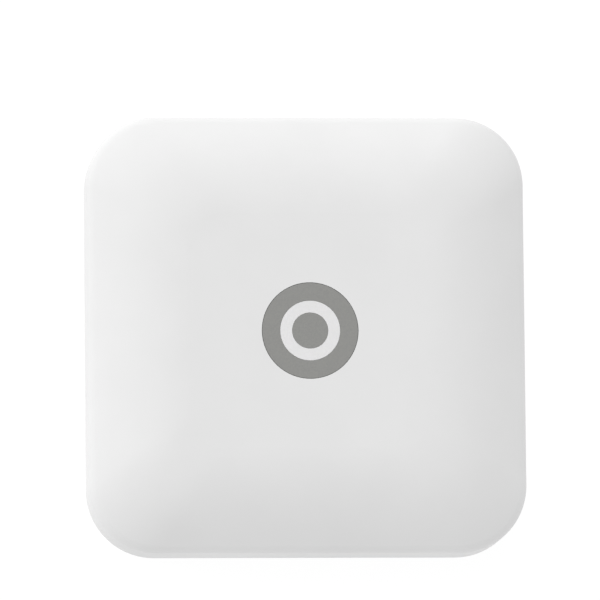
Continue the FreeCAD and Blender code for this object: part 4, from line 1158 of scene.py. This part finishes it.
@dataclass
class NetworkSocket:
    """The network socket in the rear wall. Sizes are in millimetres."""

    finishes: dict[str, Finish] = field(default_factory=lambda: {
        "ethernet_shield": Finish.TIN,
        "ethernet_housing": Finish.NYLON,
        "ethernet_contacts": Finish.GOLD,
    })
    plug_width: float = 11.9
    plug_height: float = 7.0
    latch_width: float = 6.4
    latch_height: float = 1.9
    latch_floor: float = 1.0
    bezel: float = 0.25
    lamp_width: float = 3.2
    lamp_height: float = 1.5
    lamp_rise: float = 0.75  # from the housing's underside
    lamp_shift: float = 0.7  # outwards from the middle of the ledge beside the latch
    lamp_proud: float = 0.05
    lamp_edge: float = 0.1
    face_edge: float = 0.07
    overlap: float = 0.01  # of the plug's and the latch's openings, so that they join
    finger_width: float = 2.2
    finger_gap: float = 0.8
    finger_rise: float = 0.9  # from the plug's underside
    finger_sheet: float = 0.15
    finger_bend: float = 0.5
    finger_path: Bends = ((0.0, 0.0), (0.15, 1.2), (0.85, 4.2), (0.25, 6.0))
    low: Vector = field(init=False)
    high: Vector = field(init=False)
    middle: float = field(init=False)
    latch_z: float = field(init=False)
    plug_z: float = field(init=False)

    def __post_init__(self) -> None:
        """Finds the socket's place."""
        self.low, self.high = span("ethernet_housing")
        self.middle = (self.low.x + self.high.x) / 2
        self.latch_z = span("ethernet_shield")[0].z + self.latch_floor
        self.plug_z = self.latch_z + self.latch_height

    def build(self) -> None:
        """Dresses the socket, then adds its metal face, its earthing fingers and its two lamps."""
        dress(self.finishes)
        self.face()
        self.fingers()
        for name, side, finish in (("left", 1, Finish.GREEN_LAMP), ("right", -1, Finish.AMBER_LAMP)):
            self.lamp(name, side, finish)

    def lamp_window(self, side: int) -> Rectangle:
        """Finds the edges of one lamp's window, beside the latch's slot.

        Args:
            side: 1 to the right seen from the front, or -1.

        Returns:
            The window's edges.
        """
        ledge = self.latch_width / 2 + (self.plug_width - self.latch_width) / 4
        start = ledge - self.lamp_width / 2 + self.lamp_shift
        left, right = sorted((self.middle + side * start, self.middle + side * (start + self.lamp_width)))
        bottom = self.low.z + self.lamp_rise
        return (left, right, bottom, bottom + self.lamp_height)

    def face(self) -> None:
        """Cuts the metal face, which leaves the plug's and the lamps' openings."""
        half_plug, half_latch = self.plug_width / 2, self.latch_width / 2
        plug = (self.middle - half_plug, self.middle + half_plug, self.plug_z, self.plug_z + self.plug_height)
        latch = (self.middle - half_latch, self.middle + half_latch, self.latch_z, self.plug_z + self.overlap)
        outline = (self.low.x, self.high.x, self.low.z, self.high.z)
        holes = [plug, latch, self.lamp_window(1), self.lamp_window(-1)]
        shape = Shape()
        shape.plate(outline, holes, (self.high.y, self.high.y + self.bezel), Plane.FACING_REAR)
        shape.soften(self.face_edge, 2)
        shape.piece("ethernet_face", Finish.TIN, "shield_tin")

    def fingers(self) -> None:
        """Bends two sprung fingers back into the opening from each of its sides."""
        edge = self.middle + self.plug_width / 2
        front = self.high.y + self.bezel / 2
        bottom = self.plug_z + self.finger_rise
        path = [Vector((edge - inward, front - back, bottom)) for inward, back in self.finger_path]
        shape = Shape()
        shape.strip(path, Z * self.finger_width, self.finger_sheet, self.finger_bend)
        shape.copies([Z * (self.finger_width + self.finger_gap)])
        shape.mirrored(Vector((self.middle, 0.0, 0.0)), X)
        shape.piece("ethernet_fingers", Finish.TIN, "shield_tin")

    def lamp(self, name: str, side: int, finish: Finish) -> None:
        """Sets one lamp in its window.

        Args:
            name: which one it is, seen from behind the hub.
            side: 1 to the right seen from the front, or -1.
            finish: its resin.
        """
        left, right, bottom, top = self.lamp_window(side)
        shape = Shape()
        low = Vector((left, self.high.y, bottom))
        shape.block(low, Vector((right, self.high.y + self.bezel + self.lamp_proud, top)), self.lamp_edge)
        shape.piece(f"ethernet_lamp_{name}", finish, "lens_milky")


@dataclass
class UsbSocket:
    """The USB socket in the rear wall. Sizes are in millimetres."""

    finishes: dict[str, Finish] = field(default_factory=lambda: {
        "usb_shell": Finish.NICKEL,
        "usb_tongue": Finish.NYLON,
        "usb_contacts": Finish.GOLD,
    })
    shell_height: float = 5.8
    sheet: float = 0.35
    flare: float = 0.12
    lip: float = 0.5
    lip_root: float = 0.02  # over the shell
    lip_edge: float = 0.14
    spring_width: float = 2.0
    spring_back: float = 0.4  # of the springs' roots, from the mouth
    floor_start: float = 1.6  # of the floor's springs, from the middle
    floor_sheet: float = 0.15
    floor_bend: float = 0.6
    floor_path: Bends = ((0.0, 0.0), (0.1, 1.0), (0.9, 4.4), (0.25, 6.4))
    side_sheet: float = 0.12
    side_bend: float = 0.5
    side_path: Bends = ((0.0, 0.0), (0.05, 1.0), (0.45, 4.0), (0.1, 5.6))
    left: float = field(init=False)
    right: float = field(init=False)
    bottom: float = field(init=False)
    top: float = field(init=False)
    mouth: float = field(init=False)

    def __post_init__(self) -> None:
        """Finds the socket's place."""
        low, high = span("usb_shell")
        self.left, self.right, self.top, self.mouth = low.x, high.x, high.z, high.y
        self.bottom = high.z - self.shell_height

    def build(self) -> None:
        """Dresses the socket, then adds its flared lip and its springs."""
        dress(self.finishes)
        self.flared_lip()
        self.springs()

    def flared_lip(self) -> None:
        """Rounds the shell's mouth outwards."""
        flare, sheet = self.flare, self.sheet
        outline = (self.left - flare, self.right + flare, self.bottom - flare, self.top + flare)
        hole = (self.left + sheet, self.right - sheet, self.bottom + sheet, self.top - sheet)
        shape = Shape()
        shape.plate(outline, [hole], (self.mouth - self.lip_root, self.mouth + self.lip), Plane.FACING_REAR)
        shape.soften(self.lip_edge)
        shape.piece("usb_lip", Finish.NICKEL, "usb_steel")

    def springs(self) -> None:
        """Bends two springs up from the shell's floor and one in from each side."""
        middle = (self.left + self.right) / 2
        front = self.mouth - self.spring_back
        floor, wall = self.bottom + self.sheet, self.right - self.sheet
        start = middle + self.floor_start
        beside = self.bottom + self.shell_height / 2 - self.spring_width / 2
        up = [Vector((start, front - back, floor + rise)) for rise, back in self.floor_path]
        inwards = [Vector((wall - inward, front - back, beside)) for inward, back in self.side_path]
        shape = Shape()
        shape.strip(up, X * self.spring_width, self.floor_sheet, self.floor_bend)
        shape.strip(inwards, Z * self.spring_width, self.side_sheet, self.side_bend)
        shape.mirrored(Vector((middle, 0.0, 0.0)), X)
        shape.piece("usb_springs", Finish.NICKEL, "usb_steel")


@dataclass
class PowerInlet:
    """The round power socket in the rear wall. Sizes are in millimetres."""

    finishes: dict[str, Finish] = field(default_factory=lambda: {
        "power_jack_housing": Finish.NYLON,
        "power_jack_pin": Finish.NICKEL,
        "power_jack_spring": Finish.NICKEL,
    })
    bore_radius: float = 3.2
    collar_radius: float = 4.0
    collar_length: float = 1.15
    lead_in: float = 0.4
    collar_edge: float = 0.08

    def build(self) -> None:
        """Dresses the socket, then adds the collar that fills the wall's opening."""
        dress(self.finishes)
        pin_low, pin_high = span("power_jack_pin")
        mouth = span("power_jack_housing")[1].y
        centre = Vector(((pin_low.x + pin_high.x) / 2, mouth, (pin_low.z + pin_high.z) / 2))
        shape = Shape()
        profile = [
            (self.bore_radius, 0.0),
            (self.bore_radius, self.collar_length - self.lead_in),
            (self.bore_radius + self.lead_in, self.collar_length),
            (self.collar_radius, self.collar_length),
            (self.collar_radius, 0.0),
        ]
        shape.turned(centre, Y, profile, ring=True, steps=FINE_STEPS)
        shape.soften(self.collar_edge)
        shape.piece("power_jack_collar", Finish.NYLON, "jack_black")


@dataclass
class Buttons:
    """The pairing button and the reset switch. Sizes are in millimetres."""

    finishes: dict[str, Finish] = field(default_factory=lambda: {
        "pair_switch_body": Finish.NYLON,
        "pair_switch_plunger": Finish.PLUNGER,
        "reset_switch_body": Finish.NYLON,
        "reset_switch_plunger": Finish.PLUNGER,
    })
    head_radius: float = 3.0
    flange_radius: float = 4.1
    stem_radius: float = 1.5
    flange_depth: float = 2.65  # from the cap's face to the flange's far side
    flange_thickness: float = 0.9
    dish_radius: float = 2.3
    dish_depth: float = 0.28
    dish_rings: int = 6
    cap_edge: float = 0.22

    def build(self) -> None:
        """Dresses the switches and turns the pairing button's dished cap."""
        dress(self.finishes)
        low, high = span("pair_button_cap")
        centre = Vector(((low.x + high.x) / 2, 0.0, (low.z + high.z) / 2))
        flange_end = high.y - self.flange_depth
        flange_face = flange_end + self.flange_thickness
        profile = [
            (0.0, low.y),
            (self.stem_radius, low.y),
            (self.stem_radius, flange_end),
            (self.flange_radius, flange_end),
            (self.flange_radius, flange_face),
            (self.head_radius, flange_face),
            (self.head_radius, high.y),
        ]
        for ring in range(self.dish_rings, -1, -1):
            share = ring / self.dish_rings
            profile.append((self.dish_radius * share, high.y - self.dish_depth * (1 - share ** 2)))
        shape = Shape()
        shape.turned(centre, Y, profile, steps=FINE_STEPS)
        shape.soften(self.cap_edge)
        shape.piece(
            "pair_button_cap_dished", Finish.BUTTON_ABS, "button_grey", Body.PAIR_BUTTON, ("pair_button_cap",)
        )


# ---------------------------------------------------------------- studio


@dataclass
class Studio:
    """A pale floor, soft light from the left and from behind, and a long lens almost straight overhead."""

    floor_radius: float = 6.0
    floor_sides: int = 96
    floor_colour: str = "6C6C6C"
    floor_glow: float = 0.88  # lifts the paper to near white, as a lit sweep is
    tilt_left: float = 5.0
    tilt_front: float = 6.5
    distance: float = 2.6
    sensor_width: float = 36.0
    clip_end: float = 20.0
    frame_width: float = 0.1731
    shift: tuple[float, float] = (-0.007, 0.064)
    aim_height: float = 0.011
    sky: float = 0.845
    key_power: float = 1.11
    key_direction: tuple[float, float, float] = (-0.785, 0.453, 0.423)
    lamp_spread: float = 50.0  # of both lamps, in degrees
    fill_power: float = 0.7
    fill_direction: tuple[float, float, float] = (0.0, 0.906, 0.423)

    def build(self) -> None:
        """Makes the floor, the lights and the camera."""
        self.floor()
        self.sky_light()
        self.lamp("key", self.key_power, self.key_direction)
        self.lamp("fill", self.fill_power, self.fill_direction)
        self.camera()

    def floor(self) -> None:
        """Lays the floor under the feet."""
        mesh = bpy.data.meshes.new("floor")
        shape = bmesh.new()
        bmesh.ops.create_circle(shape, cap_ends=True, segments=self.floor_sides, radius=self.floor_radius)
        shape.to_mesh(mesh)
        shape.free()
        floor = bpy.data.objects.new("floor", mesh)
        bpy.context.scene.collection.objects.link(floor)
        graph = Graph("pale_paper_sweep")
        graph.set({
            "Base Color": linear(self.floor_colour),
            "Roughness": 0.9,
            "Specular IOR Level": 0.1,
            "Emission Color": linear("FFFFFF"),
            "Emission Strength": self.floor_glow,
        })
        mesh.materials.append(graph.material)

    def sky_light(self) -> None:
        """Fills the room with an even pale light."""
        world = bpy.data.worlds.new("studio")
        world.use_nodes = True
        background = world.node_tree.nodes["Background"]
        background.inputs["Color"].default_value = linear("FFFFFF")
        background.inputs["Strength"].default_value = self.sky
        bpy.context.scene.world = world

    def lamp(self, name: str, power: float, direction: tuple[float, float, float]) -> None:
        """Hangs one large soft lamp.

        Args:
            name: the lamp's name.
            power: its strength.
            direction: from the hub to the lamp.
        """
        data = bpy.data.lights.new(name, "SUN")
        data.energy = power
        data.angle = math.radians(self.lamp_spread)
        lamp = bpy.data.objects.new(name, data)
        lamp.rotation_mode = "QUATERNION"
        lamp.rotation_quaternion = Vector(direction).to_track_quat("Z", "Y")
        bpy.context.scene.collection.objects.link(lamp)

    def camera(self) -> None:
        """Sets the camera over the hub, leaning to its front left, with the rear wall at the top."""
        data = bpy.data.cameras.new("camera")
        data.sensor_width = self.sensor_width
        data.lens = data.sensor_width * self.distance / self.frame_width
        data.shift_x, data.shift_y = self.shift
        data.clip_end = self.clip_end
        camera = bpy.data.objects.new("camera", data)
        bpy.context.scene.collection.objects.link(camera)
        leans = [math.tan(math.radians(tilt)) for tilt in (self.tilt_left, self.tilt_front)]
        back = Vector((-leans[0], -leans[1], 1.0)).normalized()
        right = (X - back * X.dot(back)).normalized()
        turn = Matrix((right, back.cross(right), back)).transposed().to_4x4()
        camera.matrix_world = Matrix.Translation(Z * self.aim_height + back * self.distance) @ turn
        bpy.context.scene.camera = camera
        bpy.context.scene.view_settings.view_transform = "Standard"


def main() -> None:
    """Builds the hub's looks in order, then the studio."""
    logging.basicConfig(level=logging.INFO, format="%(message)s")
    hub = [Case(), Badge(), Electronics(), Radio("wifi"), Radio("zigbee")]
    hub += [NetworkSocket(), UsbSocket(), PowerInlet(), Buttons(), Studio()]
    for assembly in hub:
        assembly.build()
        log.info("%s done", type(assembly).__name__)


if __name__ == "__main__":
    main()
